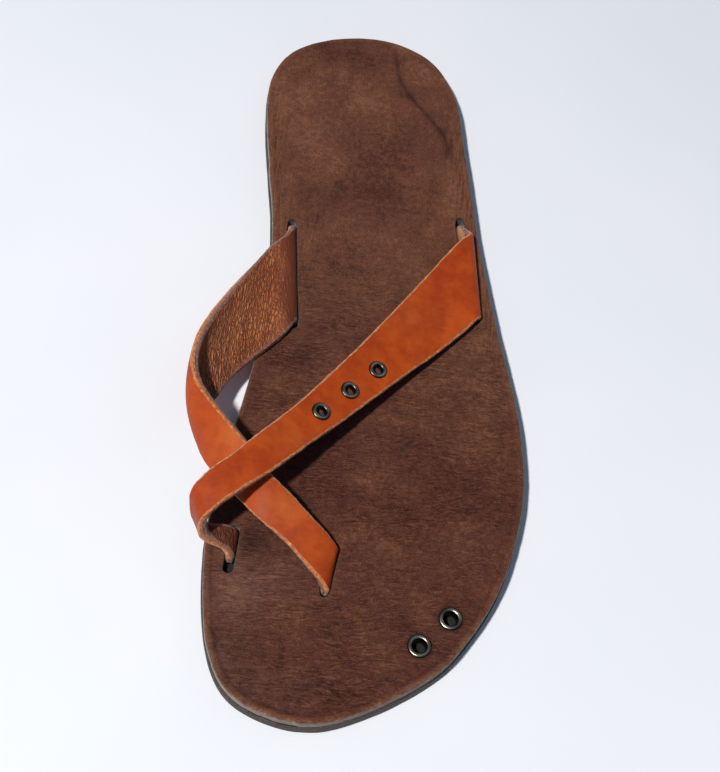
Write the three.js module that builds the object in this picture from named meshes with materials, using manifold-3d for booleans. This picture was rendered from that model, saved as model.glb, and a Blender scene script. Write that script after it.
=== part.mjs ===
// Toe post sandal, left foot: a flat leather footbed on a thin rubber outsole, with two lined
// leather straps that come up through slots, cross over the instep and go down again.
// Millimetres, +Z up, toe towards -Y, heel towards +Y, lateral (little toe) side towards +X.
import * as THREE from 'three';
import { mergeVertices } from 'three/addons/utils/BufferGeometryUtils.js';
import Module from 'manifold-3d';

const wasm = await Module();
wasm.setup();

// ---------------------------------------------------------------- driving dimensions
const SOLE_LENGTH = 275.4;       // toe tip to heel end of the outsole
const OUTSOLE_THICKNESS = 4.5;   // rubber
const FOOTBED_THICKNESS = 4.2;   // leather
const JOINT_GAP = 0.3;           // cement line between rubber and leather
const FOOTBED_INSET = 0.5;       // the rubber stands out past the leather all round
const TOE_SPRING = 1.0;          // lift of the toe tip
const SPRING_START = -72;        // the lift begins in front of this station
const STRAP_THICKNESS = 2.9;     // face leather and lining together
const STRAP_CLEARANCE = 0.35;    // round a strap in its slot and under the footbed
const SLOT_WIDTH = 3.6;
const SLOT_HOLE = 3.4;           // punched hole at each end of a slot
const TAB_LENGTH = 11;           // strap end turned under the footbed
const TAB_BEND = 1.8;            // bend radius of the tab at its middle layer
const FOOTBED_TOP = OUTSOLE_THICKNESS + JOINT_GAP + FOOTBED_THICKNESS;

// Outline of the outsole: x of the medial and of the lateral edge at stations along the sole.
const SOLE_SECTIONS = [
  { at: 'toe tip',      y: -137.7, medial: 0.0,   lateral: 0.0 },
  { at: 'toe cap',      y: -133.5, medial: -18.6, lateral: 15.4 },
  { at: 'toe round',    y: -127.5, medial: -25.9, lateral: 26.4 },
  { at: 'big toe',      y: -115.5, medial: -31.8, lateral: 41.7 },
  { at: 'toes',         y: -103.5, medial: -34.5, lateral: 50.3 },
  { at: 'little toe',   y: -91.5,  medial: -36.2, lateral: 56.6 },
  { at: 'tread line',   y: -79.5,  medial: -36.9, lateral: 60.8 },
  { at: 'ball',         y: -59.5,  medial: -35.9, lateral: 64.5 },
  { at: 'outer ball',   y: -41.5,  medial: -33.4, lateral: 64.6 },
  { at: 'behind ball',  y: -19.5,  medial: -30.6, lateral: 61.1 },
  { at: 'waist front',  y: 2.5,    medial: -29.3, lateral: 55.2 },
  { at: 'waist',        y: 22.5,   medial: -29.6, lateral: 50.2 },
  { at: 'waist back',   y: 44.5,   medial: -31.3, lateral: 45.2 },
  { at: 'heel front',   y: 66.5,   medial: -35.2, lateral: 41.2 },
  { at: 'heel',         y: 90.5,   medial: -39.1, lateral: 36.8 },
  { at: 'heel seat',    y: 108.5,  medial: -39.9, lateral: 33.4 },
  { at: 'heel round',   y: 122.5,  medial: -35.0, lateral: 27.5 },
  { at: 'heel back',    y: 131.5,  medial: -24.6, lateral: 19.6 },
  { at: 'heel end',     y: 137.7,  medial: 0.0,   lateral: 0.0 },
];

// A strap's middle layer, a row for each section from one slot to the other: the rear (heel-side)
// cut edge and the front (toe-side) cut edge.
const STRAP_OVER = [   // lateral rear slot, over the instep, round the medial edge, medial front slot
  { at: 'lateral slot', rx: 37.1, ry: 52.2, rz: 9.0, fx: 44.6, fy: 12.7, fz: 9.0 },
  { at: 'leans out', rx: 39.0, ry: 49.2, rz: 11.4, fx: 45.4, fy: 12.2, fz: 10.7 },
  { at: 'fold', rx: 40.0, ry: 46.0, rz: 13.6, fx: 44.8, fy: 11.1, fz: 11.9 },
  { at: 'turned in', rx: 36.4, ry: 41.0, rz: 14.9, fx: 42.2, fy: 7.0, fz: 12.1 },
  { at: 'outer third', rx: 26.6, ry: 24.9, rz: 15.7, fx: 32.4, fy: -4.7, fz: 12.7 },
  { at: 'before eyelets', rx: 15.8, ry: 7.2, rz: 17.0, fx: 22.2, fy: -16.4, fz: 15.1 },
  { at: 'middle', rx: 5.2, ry: -10.1, rz: 19.1, fx: 12.0, fy: -28.3, fz: 17.3 },
  { at: 'past eyelets', rx: -5.0, ry: -25.9, rz: 21.7, fx: 2.1, fy: -40.2, fz: 20.1 },
  { at: 'before cross', rx: -14.9, ry: -40.9, rz: 24.9, fx: -7.8, fy: -52.0, fz: 23.7 },
  { at: 'cross', rx: -23.7, ry: -52.2, rz: 27.3, fx: -17.3, fy: -63.5, fz: 26.9 },
  { at: 'past cross', rx: -31.2, ry: -61.6, rz: 28.5, fx: -26.0, fy: -72.3, fz: 28.3 },
  { at: 'crown', rx: -37.3, ry: -68.1, rz: 28.7, fx: -32.3, fy: -78.4, fz: 28.3 },
  { at: 'shoulder', rx: -40.9, ry: -73.0, rz: 27.1, fx: -36.3, fy: -82.9, fz: 26.3 },
  { at: 'outermost', rx: -41.2, ry: -75.4, rz: 22.4, fx: -36.9, fy: -83.6, fz: 20.5 },
  { at: 'curled under', rx: -39.9, ry: -78.3, rz: 16.5, fx: -35.8, fy: -84.2, fz: 14.8 },
  { at: 'beside sole', rx: -35.5, ry: -79.2, rz: 12.9, fx: -32.9, fy: -85.0, fz: 12.1 },
  { at: 'on footbed', rx: -31.4, ry: -77.9, rz: 11.4, fx: -29.6, fy: -85.8, fz: 11.2 },
  { at: 'medial slot', rx: -27.5, ry: -78.2, rz: 9.0, fx: -27.8, fy: -87.9, fz: 9.0 },
];
const STRAP_TOE = [    // medial rear slot, out round the arch, under the other strap, toe slot
  { at: 'medial slot', rx: -23.5, ry: 42.1, rz: 9.0, fx: -18.2, fy: 1.9, fz: 9.0 },
  { at: 'turned out', rx: -25.7, ry: 35.3, rz: 11.1, fx: -20.0, fy: -3.8, fz: 11.0 },
  { at: 'on footbed', rx: -29.8, ry: 29.8, rz: 11.8, fx: -25.6, fy: -11.0, fz: 11.1 },
  { at: 'beside arch', rx: -35.4, ry: 18.5, rz: 13.8, fx: -32.0, fy: -18.5, fz: 10.8 },
  { at: 'rising', rx: -40.9, ry: 5.5, rz: 17.5, fx: -37.4, fy: -26.5, fz: 11.3 },
  { at: 'bulge back', rx: -45.2, ry: -6.6, rz: 21.2, fx: -40.2, fy: -34.3, fz: 13.0 },
  { at: 'bulge', rx: -47.5, ry: -17.0, rz: 24.3, fx: -42.6, fy: -41.3, fz: 14.2 },
  { at: 'outermost', rx: -47.7, ry: -28.8, rz: 27.2, fx: -43.6, fy: -48.7, fz: 14.3 },
  { at: 'turned in', rx: -45.9, ry: -34.9, rz: 27.6, fx: -41.8, fy: -52.9, fz: 14.2 },
  { at: 'crown', rx: -43.4, ry: -39.2, rz: 27.8, fx: -39.1, fy: -58.0, fz: 14.0 },
  { at: 'before cross', rx: -37.1, ry: -46.1, rz: 27.8, fx: -33.8, fy: -63.7, fz: 14.6 },
  { at: 'cross', rx: -27.4, ry: -55.1, rz: 26.0, fx: -26.0, fy: -71.1, fz: 15.8 },
  { at: 'past cross', rx: -18.1, ry: -63.6, rz: 21.6, fx: -20.0, fy: -76.3, fz: 15.6 },
  { at: 'going down', rx: -11.2, ry: -67.6, rz: 17.4, fx: -14.5, fy: -79.7, fz: 14.6 },
  { at: 'toe part', rx: -4.1, ry: -73.1, rz: 15.0, fx: -9.0, fy: -83.6, fz: 13.4 },
  { at: 'toe bend', rx: 1.7, ry: -77.6, rz: 12.8, fx: -3.1, fy: -89.1, fz: 12.7 },
  { at: 'toe post', rx: 4.3, ry: -80.2, rz: 11.2, fx: 1.1, fy: -92.7, fz: 11.5 },
  { at: 'toe slot', rx: 4.3, ry: -79.9, rz: 9.0, fx: 2.9, fy: -94.8, fz: 9.0 },
];

// Slots through the footbed: how far the punched hole at each end lies past the strap's edge.
const SLOTS = [
  { row: STRAP_OVER[0], rearHole: 2.4, frontHole: 0.3 },
  { row: STRAP_OVER.at(-1), rearHole: 0.3, frontHole: 2.4 },
  { row: STRAP_TOE[0], rearHole: 1.4, frontHole: 0.8 },
  { row: STRAP_TOE.at(-1), rearHole: 0.3, frontHole: 0.2 },
];

// Eyelets set in the face leather of the strap: place along the table above (row number and
// fraction) and across it (0 rear edge, 1 front edge).
const STRAP_EYELETS = [
  { name: 'strap_eyelet_outer', along: 5.8, across: 0.62 },
  { name: 'strap_eyelet_middle', along: 6.62, across: 0.58 },
  { name: 'strap_eyelet_inner', along: 7.46, across: 0.54 },
];
// Eyelets set in the footbed at the outer toes.
const SOLE_EYELETS = [
  { name: 'sole_eyelet_front', x: 33.7, y: -108.8 },
  { name: 'sole_eyelet_rear', x: 42.8, y: -98.7 },
];
// An eyelet's turned section: radii of the barrel and of the rolled flange.
const STRAP_EYELET = { bore: 1.55, barrel: 1.95, flange: 3.15, rise: 0.75, depth: 1.1, clearance: 0.3 };
const SOLE_EYELET = { bore: 2.05, barrel: 2.5, flange: 3.75, rise: 0.7, depth: 3.0, clearance: 0.3 };

// ---------------------------------------------------------------- helpers
const lift = (y) => (y < SPRING_START
  ? TOE_SPRING * ((SPRING_START - y) / (SOLE_LENGTH / 2 + SPRING_START)) ** 2 : 0);

// A closed solid for cutting and joining, from a geometry, and back.
function solidOf(geometry) {
  const g = geometry.clone();
  g.deleteAttribute('normal');
  g.deleteAttribute('uv');
  const merged = mergeVertices(g, 1e-4);
  return new wasm.Manifold(new wasm.Mesh({
    numProp: 3,
    vertProperties: new Float32Array(merged.attributes.position.array),
    triVerts: new Uint32Array(merged.index.array),
  }));
}
function geometryOf(solid) {
  const mesh = solid.getMesh();
  const g = new THREE.BufferGeometry();
  g.setAttribute('position', new THREE.BufferAttribute(new Float32Array(mesh.vertProperties), 3));
  g.setIndex(new THREE.BufferAttribute(new Uint32Array(mesh.triVerts), 1));
  g.computeVertexNormals();
  return g;
}
function meshGeometry(points, faces) {
  const v = points.map((q) => new THREE.Vector3(...q));
  const volume = faces.reduce((sum, [a, b, c]) => sum + v[a].dot(v[b].clone().cross(v[c])), 0) / 6;
  if (volume < 0) faces = faces.map(([a, b, c]) => [a, c, b]);   // faces look outwards
  const g = new THREE.BufferGeometry();
  g.setAttribute('position', new THREE.Float32BufferAttribute(points.flat(), 3));
  g.setIndex(faces.flat());
  return g;
}
// Grid of closed rings, one ring of points per section, with a flat cap on each end.
function ringSolid(rings) {
  const n = rings[0].length;
  const faces = [];
  for (let i = 0; i + 1 < rings.length; i++) {
    for (let j = 0; j < n; j++) {
      const a = i * n + j, b = i * n + (j + 1) % n, c = a + n, d = b + n;
      faces.push([a, b, d], [a, d, c]);
    }
  }
  return { points: rings.flat(), faces };
}

// ---------------------------------------------------------------- sole
const station = (y) => Math.acos(THREE.MathUtils.clamp(1 - 2 * (y + SOLE_LENGTH / 2) / SOLE_LENGTH, -1, 1)) / Math.PI;
const stationY = (t) => -SOLE_LENGTH / 2 + SOLE_LENGTH * (1 - Math.cos(Math.PI * t)) / 2;
function edgeX(side, t) {
  const k = SOLE_SECTIONS.map((s) => station(s.y));
  const v = SOLE_SECTIONS.map((s) => s[side]);
  let i = 0;
  while (i < k.length - 2 && t > k[i + 1]) i++;
  const slope = (m) => {
    if (m === 0) return (v[1] - v[0]) / (k[1] - k[0]);
    if (m === k.length - 1) return (v[m] - v[m - 1]) / (k[m] - k[m - 1]);
    return (v[m + 1] - v[m - 1]) / (k[m + 1] - k[m - 1]);
  };
  const h = k[i + 1] - k[i], u = (t - k[i]) / h;
  return v[i] * (1 + 2 * u) * (1 - u) ** 2 + slope(i) * h * u * (1 - u) ** 2
    + v[i + 1] * u * u * (3 - 2 * u) + slope(i + 1) * h * u * u * (u - 1);
}
function edgePoint(side, t, inset) {
  const e = 1e-3;
  const at = (q) => new THREE.Vector2(edgeX(side, q), stationY(q));
  const d = at(Math.min(t + e, 1)).sub(at(Math.max(t - e, 0))).normalize();
  const inward = side === 'medial' ? new THREE.Vector2(d.y, -d.x) : new THREE.Vector2(-d.y, d.x);
  return at(t).addScaledVector(inward, inset);
}
// A slab of even thickness with the sole's outline, following the toe spring.
function slab(bottom, top, inset, stations = 58, columns = 6) {
  const rings = [];
  for (let i = 0; i <= stations; i++) {
    const t = 0.016 + (1 - 0.032) * i / stations;
    const m = edgePoint('medial', t, inset), l = edgePoint('lateral', t, inset);
    const row = (z, j) => {
      const p = new THREE.Vector2().lerpVectors(m, l, j / columns);
      return [p.x, p.y, z + lift(p.y)];
    };
    const ring = [];
    for (let j = 0; j <= columns; j++) ring.push(row(bottom, j));
    for (let j = columns; j >= 0; j--) ring.push(row(top, j));
    rings.push(ring);
  }
  const { points, faces } = ringSolid(rings);
  const n = rings[0].length, c = columns + 1, last = (rings.length - 1) * n;
  for (let j = 0; j < columns; j++) {
    const a = j, b = j + 1, d = n - 1 - j, e = n - 2 - j;
    faces.push([a, e, b], [a, d, e]);
    faces.push([last + a, last + b, last + e], [last + a, last + e, last + d]);
  }
  return solidOf(meshGeometry(points, faces));
}

// ---------------------------------------------------------------- straps
const STEPS = 3;   // sections between two rows of a strap's table
// Free part of a strap, from slot to slot, as rear and front points of its middle layer.
function strapPath(rows) {
  const pick = (r, k) => new THREE.Vector3(r[k + 'x'], r[k + 'y'], r[k + 'z'] + (r.at.includes('slot') ? lift(r[k + 'y']) : 0));
  const curve = (k) => {
    const p = rows.map((r) => pick(r, k));
    const down = (q) => q.clone().add(new THREE.Vector3(0, 0, -3));
    return new THREE.CatmullRomCurve3([down(p[0]), ...p, down(p[p.length - 1])], false, 'centripetal');
  };
  const rear = curve('r'), front = curve('f');
  const spans = rows.length + 1;
  return (along) => {
    const u = (along + 1) / spans;
    return [rear.getPoint(u), front.getPoint(u)];
  };
}
// All sections of a strap: tab, passage through the footbed, free part, passage, tab.
function strapSections(rows, tabStart, tabEnd) {
  const path = strapPath(rows);
  const end = (row, dir) => {
    const [r, f] = path(row);
    const across = new THREE.Vector3().subVectors(f, r).setZ(0).normalize();
    const out = new THREE.Vector3(across.y, -across.x, 0).multiplyScalar(dir);
    const tabZ = OUTSOLE_THICKNESS - STRAP_THICKNESS / 2 - 0.05;
    const list = [];
    const put = (side, z) => list.push([r, f].map((p) => p.clone().addScaledVector(out, side).setZ(z + lift(p.y))));
    put(TAB_LENGTH, tabZ);
    put((TAB_LENGTH + TAB_BEND) / 2, tabZ);
    for (let a = 0; a <= 3; a++) {
      const q = a / 3 * Math.PI / 2;
      put(TAB_BEND * (1 - Math.sin(q)), tabZ + TAB_BEND * (1 - Math.cos(q)));
    }
    put(0, (tabZ + TAB_BEND + FOOTBED_TOP) / 2);
    return list;
  };
  const free = [];
  for (let i = 0; i <= (rows.length - 1) * STEPS; i++) free.push(path(i / STEPS));
  return [...end(0, tabStart), ...free, ...end(rows.length - 1, tabEnd).reverse()];
}
// Unit normals on the face side of each section.
function sectionNormals(sections, faceSign) {
  return sections.map((s, i) => {
    const a = sections[Math.max(i - 1, 0)], b = sections[Math.min(i + 1, sections.length - 1)];
    const one = (k) => {
      const before = new THREE.Vector3().subVectors(s[k], a[k]).normalize();
      const after = new THREE.Vector3().subVectors(b[k], s[k]).normalize();
      const run = before.add(after).normalize();
      const across = new THREE.Vector3().subVectors(s[1], s[0]);
      return new THREE.Vector3().crossVectors(run, across).normalize().multiplyScalar(faceSign);
    };
    return [one(0), one(1)];
  });
}
function strapSolid(sections, faceSign, thickness, widen = 0, lengthen = 0) {
  const normals = sectionNormals(sections, faceSign);
  const columns = 2;
  const rings = sections.map((s, i) => {
    const across = new THREE.Vector3().subVectors(s[1], s[0]).normalize();
    const first = i === 0, last = i === sections.length - 1;
    const shift = new THREE.Vector3();
    if (lengthen && (first || last)) {
      const other = sections[first ? 1 : i - 1];
      shift.subVectors(s[0], other[0]).normalize().multiplyScalar(lengthen);
    }
    const at = (q, side) => {
      const p = new THREE.Vector3().lerpVectors(s[0], s[1], q);
      p.addScaledVector(across, widen * (2 * q - 1));
      const n = new THREE.Vector3().lerpVectors(normals[i][0], normals[i][1], q).normalize();
      return p.addScaledVector(n, side * thickness / 2).add(shift).toArray();
    };
    const ring = [];
    for (let j = 0; j <= columns; j++) ring.push(at(j / columns, -faceSign));
    for (let j = columns; j >= 0; j--) ring.push(at(j / columns, faceSign));
    return ring;
  });
  const { points, faces } = ringSolid(rings);
  const n = rings[0].length, end = (rings.length - 1) * n;
  for (let j = 0; j < columns; j++) {
    const a = j, b = j + 1, d = n - 1 - j, e = n - 2 - j;
    faces.push([a, e, b], [a, d, e]);
    faces.push([end + a, end + b, end + e], [end + a, end + e, end + d]);
  }
  return solidOf(meshGeometry(points, faces));
}

// Slot through the footbed with a punched hole at each end, past the strap's cut edges.
function slotSolid(row, rearHole, frontHole) {
  const r = new THREE.Vector2(row.rx, row.ry), f = new THREE.Vector2(row.fx, row.fy);
  const d = new THREE.Vector2().subVectors(f, r).normalize();
  r.addScaledVector(d, -rearHole);
  f.addScaledVector(d, frontHole);
  const half = r.distanceTo(f) / 2;
  const w = SLOT_WIDTH / 2, h = SLOT_HOLE / 2;
  const shape = new THREE.Shape();
  const e = Math.sqrt(Math.max(h * h - w * w, 0));
  shape.moveTo(-half, -w);
  shape.lineTo(half, -w);
  shape.absarc(half + e, 0, Math.max(h, w), -Math.PI / 2, Math.PI / 2, false);
  shape.lineTo(-half, w);
  shape.absarc(-half - e, 0, Math.max(h, w), Math.PI / 2, 1.5 * Math.PI, false);
  const g = new THREE.ExtrudeGeometry(shape, { depth: FOOTBED_THICKNESS + 8, bevelEnabled: false, curveSegments: 8 });
  g.rotateZ(Math.atan2(d.y, d.x));
  g.translate((r.x + f.x) / 2, (r.y + f.y) / 2, OUTSOLE_THICKNESS - 1);
  return solidOf(g);
}

const over = strapSections(STRAP_OVER, 1, -1);
const toe = strapSections(STRAP_TOE, -1, 1);
const overSolid = strapSolid(over, 1, STRAP_THICKNESS);
const toeSolid = strapSolid(toe, -1, STRAP_THICKNESS);
const room = (s, sign) => strapSolid(s, sign, STRAP_THICKNESS + 2 * STRAP_CLEARANCE, STRAP_CLEARANCE, STRAP_CLEARANCE);
const overRoom = room(over, 1), toeRoom = room(toe, -1);

// ---------------------------------------------------------------- eyelets
// Turned section with its face at z = 0 and its barrel going down; the flange is a rolled ring.
function eyeletGeometry(e, segments = 20) {
  const under = e.clearance, mid = (e.flange + e.bore) / 2;
  const p = [
    [e.bore, -e.depth], [e.barrel, -e.depth], [e.barrel, under], [e.flange - 0.1, under],
    [e.flange, under + 0.2], [e.flange - 0.35, e.rise - 0.1], [mid, e.rise],
    [e.bore + 0.35, e.rise - 0.2], [e.bore, under - 0.1], [e.bore, -e.depth],
  ].map(([x, y]) => new THREE.Vector2(x, y));
  const g = new THREE.LatheGeometry(p, segments);
  g.rotateX(Math.PI / 2);   // the turning axis becomes +Z
  return g;
}
function eyeletHole(e, depth, segments = 20) {
  const g = new THREE.CylinderGeometry(e.barrel + e.clearance, e.barrel + e.clearance, depth + 2, segments);
  g.rotateX(Math.PI / 2);
  g.translate(0, 0, 1 - depth / 2);
  return g;
}
function strapPlace(rows, faceSign, along, across) {
  const path = strapPath(rows);
  const e = 0.02;
  const at = (q) => { const [r, f] = path(q); return new THREE.Vector3().lerpVectors(r, f, across); };
  const run = at(along + e).sub(at(along - e)).normalize();
  const [r, f] = path(along);
  const normal = new THREE.Vector3().crossVectors(run, f.clone().sub(r)).normalize().multiplyScalar(faceSign);
  return { point: at(along).addScaledVector(normal, STRAP_THICKNESS / 2), normal };
}

// ---------------------------------------------------------------- assembly
const leather = new THREE.MeshStandardMaterial({ color: 0x5f4033, roughness: 0.72, metalness: 0 });
const rubber = new THREE.MeshStandardMaterial({ color: 0x35302d, roughness: 0.85, metalness: 0 });
const strapLeather = new THREE.MeshStandardMaterial({ color: 0xb1491b, roughness: 0.55, metalness: 0 });
const antiqueMetal = new THREE.MeshStandardMaterial({ color: 0x4a463f, roughness: 0.35, metalness: 1 });

const sandal = new THREE.Group();
const add = (name, geometry, material, place) => {
  const mesh = new THREE.Mesh(geometry, material);
  mesh.name = name;
  if (place) {
    mesh.position.copy(place.point);
    mesh.quaternion.setFromUnitVectors(new THREE.Vector3(0, 0, 1), place.normal);
  }
  sandal.add(mesh);
  return mesh;
};

let outsole = slab(0, OUTSOLE_THICKNESS, 0);
for (const cut of [overRoom, toeRoom]) outsole = outsole.subtract(cut);
add('outsole', geometryOf(outsole), rubber.clone());

let footbed = slab(OUTSOLE_THICKNESS + JOINT_GAP, FOOTBED_TOP, FOOTBED_INSET);
for (const cut of [overRoom, toeRoom]) footbed = footbed.subtract(cut);
for (const { row, rearHole, frontHole } of SLOTS) footbed = footbed.subtract(slotSolid(row, rearHole, frontHole));
const soleEyelets = SOLE_EYELETS.map((e) => ({
  ...e, place: { point: new THREE.Vector3(e.x, e.y, FOOTBED_TOP + lift(e.y)), normal: new THREE.Vector3(0, 0, 1) },
}));
for (const { place } of soleEyelets) {
  const hole = eyeletHole(SOLE_EYELET, FOOTBED_THICKNESS + 1);
  hole.translate(place.point.x, place.point.y, place.point.z);
  footbed = footbed.subtract(solidOf(hole));
}
add('footbed', geometryOf(footbed), leather.clone());

let upper = overSolid.add(toeSolid);
const strapEyelets = STRAP_EYELETS.map((e) => ({ ...e, place: strapPlace(STRAP_OVER, 1, e.along, e.across) }));
for (const { place } of strapEyelets) {
  const hole = eyeletHole(STRAP_EYELET, STRAP_EYELET.depth + STRAP_EYELET.clearance);
  hole.applyQuaternion(new THREE.Quaternion().setFromUnitVectors(new THREE.Vector3(0, 0, 1), place.normal));
  hole.translate(place.point.x, place.point.y, place.point.z);
  upper = upper.subtract(solidOf(hole));
}
add('upper_straps', geometryOf(upper), strapLeather.clone());

for (const { name, place } of strapEyelets) add(name, eyeletGeometry(STRAP_EYELET), antiqueMetal.clone(), place);
for (const { name, place } of soleEyelets) add(name, eyeletGeometry(SOLE_EYELET), antiqueMetal.clone(), place);

// Origin at the middle of the underside of the box round the whole sandal.
const box = new THREE.Box3().setFromObject(sandal, true);
sandal.position.set(-(box.min.x + box.max.x) / 2, -(box.min.y + box.max.y) / 2, -box.min.z);

export default sandal;
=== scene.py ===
import math

import bpy
import numpy as np
from mathutils import Matrix, Vector, geometry


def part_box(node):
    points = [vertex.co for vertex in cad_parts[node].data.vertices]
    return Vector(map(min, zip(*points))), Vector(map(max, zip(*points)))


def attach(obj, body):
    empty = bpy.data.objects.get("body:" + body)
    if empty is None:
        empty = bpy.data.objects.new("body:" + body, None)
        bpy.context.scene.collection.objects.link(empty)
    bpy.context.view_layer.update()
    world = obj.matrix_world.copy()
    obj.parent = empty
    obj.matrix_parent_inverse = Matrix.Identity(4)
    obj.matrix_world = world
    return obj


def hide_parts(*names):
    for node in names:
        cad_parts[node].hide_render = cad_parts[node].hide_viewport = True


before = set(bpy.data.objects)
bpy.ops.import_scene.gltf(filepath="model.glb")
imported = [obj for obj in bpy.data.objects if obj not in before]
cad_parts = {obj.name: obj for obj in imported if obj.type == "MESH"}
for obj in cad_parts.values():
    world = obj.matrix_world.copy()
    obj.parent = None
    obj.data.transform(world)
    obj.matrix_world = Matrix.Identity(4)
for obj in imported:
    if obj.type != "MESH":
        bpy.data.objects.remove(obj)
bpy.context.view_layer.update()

# Toe post sandal, left foot. The tables below are in millimetres, in the sandal's own axes: toe
# towards -Y, heel towards +Y, little toe side towards +X, floor at z = 0.

# ------------------------------------------------------------------ sizes
SOLE_LENGTH = 275.4
OUTSOLE_TOP = 4.5
FOOTBED_BOTTOM = 4.8
FOOTBED_TOP = 9.0
FOOTBED_INSET = 0.5
TOE_SPRING = 1.0
SPRING_START = -72.0
STRAP_HALF = 1.45
LAYER_SPLIT = -0.1         # the face leather is above it, the lining below
SLOT_WIDTH = 3.3

SOLE_SECTIONS = [          # y, x of the inner edge, x of the outer edge
    (-137.7, 0.0, 0.0), (-133.5, -18.6, 15.4), (-127.5, -25.9, 26.4), (-115.5, -31.8, 41.7),
    (-103.5, -34.5, 50.3), (-91.5, -36.2, 56.6), (-79.5, -36.9, 60.8), (-59.5, -35.9, 64.5),
    (-41.5, -33.4, 64.6), (-19.5, -30.6, 61.1), (2.5, -29.3, 55.2), (22.5, -29.6, 50.2),
    (44.5, -31.3, 45.2), (66.5, -35.2, 41.2), (90.5, -39.1, 36.8), (108.5, -39.9, 33.4),
    (122.5, -35.0, 27.5), (131.5, -24.6, 19.6), (137.7, 0.0, 0.0),
]
# Straps: rear cut edge and front cut edge of the middle layer, one row for each section.
STRAP_OVER = [
    (37.1, 52.2, 9.0, 44.6, 12.7, 9.0), (39.0, 49.2, 11.4, 45.4, 12.2, 10.7),
    (40.0, 46.0, 13.6, 44.8, 11.1, 11.9), (36.4, 41.0, 14.9, 42.2, 7.0, 12.1),
    (26.6, 24.9, 15.7, 32.4, -4.7, 12.7), (15.8, 7.2, 17.0, 22.2, -16.4, 15.1),
    (5.2, -10.1, 19.1, 12.0, -28.3, 17.3), (-5.0, -25.9, 21.7, 2.1, -40.2, 20.1),
    (-14.9, -40.9, 24.9, -7.8, -52.0, 23.7), (-23.7, -52.2, 27.3, -17.3, -63.5, 26.9),
    (-31.2, -61.6, 28.5, -26.0, -72.3, 28.3), (-37.3, -68.1, 28.7, -32.3, -78.4, 28.3),
    (-40.9, -73.0, 27.1, -36.3, -82.9, 26.3), (-41.2, -75.4, 22.4, -36.9, -83.6, 20.5),
    (-39.9, -78.3, 16.5, -35.8, -84.2, 14.8), (-35.5, -79.2, 12.9, -32.9, -85.0, 12.1),
    (-31.4, -77.9, 11.4, -29.6, -85.8, 11.2), (-27.5, -78.2, 9.0, -27.8, -87.9, 9.0),
]
STRAP_TOE = [
    (-23.5, 42.1, 9.0, -18.2, 1.9, 9.0), (-25.7, 35.3, 11.1, -20.0, -3.8, 11.0),
    (-29.8, 29.8, 11.8, -25.6, -11.0, 11.1), (-35.4, 18.5, 13.8, -32.0, -18.5, 10.8),
    (-40.9, 5.5, 17.5, -37.4, -26.5, 11.3), (-45.2, -6.6, 21.2, -40.2, -34.3, 13.0),
    (-47.5, -17.0, 24.3, -42.6, -41.3, 14.2), (-47.7, -28.8, 27.2, -43.6, -48.7, 14.3),
    (-45.9, -34.9, 27.6, -41.8, -52.9, 14.2), (-43.4, -39.2, 27.8, -39.1, -58.0, 14.0),
    (-37.1, -46.1, 27.8, -33.8, -63.7, 14.6), (-27.4, -55.1, 26.0, -26.0, -71.1, 15.8),
    (-18.1, -63.6, 21.6, -20.0, -76.3, 15.6), (-11.2, -67.6, 17.4, -14.5, -79.7, 14.6),
    (-4.1, -73.1, 15.0, -9.0, -83.6, 13.4), (1.7, -77.6, 12.8, -3.1, -89.1, 12.7),
    (4.3, -80.2, 11.2, 1.1, -92.7, 11.5), (4.3, -79.9, 9.0, 2.9, -94.8, 9.0),
]
SLOTS = [                  # strap row, how far the rear and front holes lie past the strap, their sizes
    (STRAP_OVER[0], 2.5, 0.5, 2.4, 2.9), (STRAP_OVER[-1], 0.4, 2.4, 2.9, 3.5),
    (STRAP_TOE[0], 1.6, 0.9, 2.7, 2.9), (STRAP_TOE[-1], 0.4, 0.3, 2.9, 2.9),
]
STRAP_EYELETS = [("strap_eyelet_outer", 5.8, 0.62), ("strap_eyelet_middle", 6.62, 0.58), ("strap_eyelet_inner", 7.46, 0.54)]
SOLE_EYELETS = [("sole_eyelet_front", 33.7, -108.8), ("sole_eyelet_rear", 42.8, -98.7)]

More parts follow.
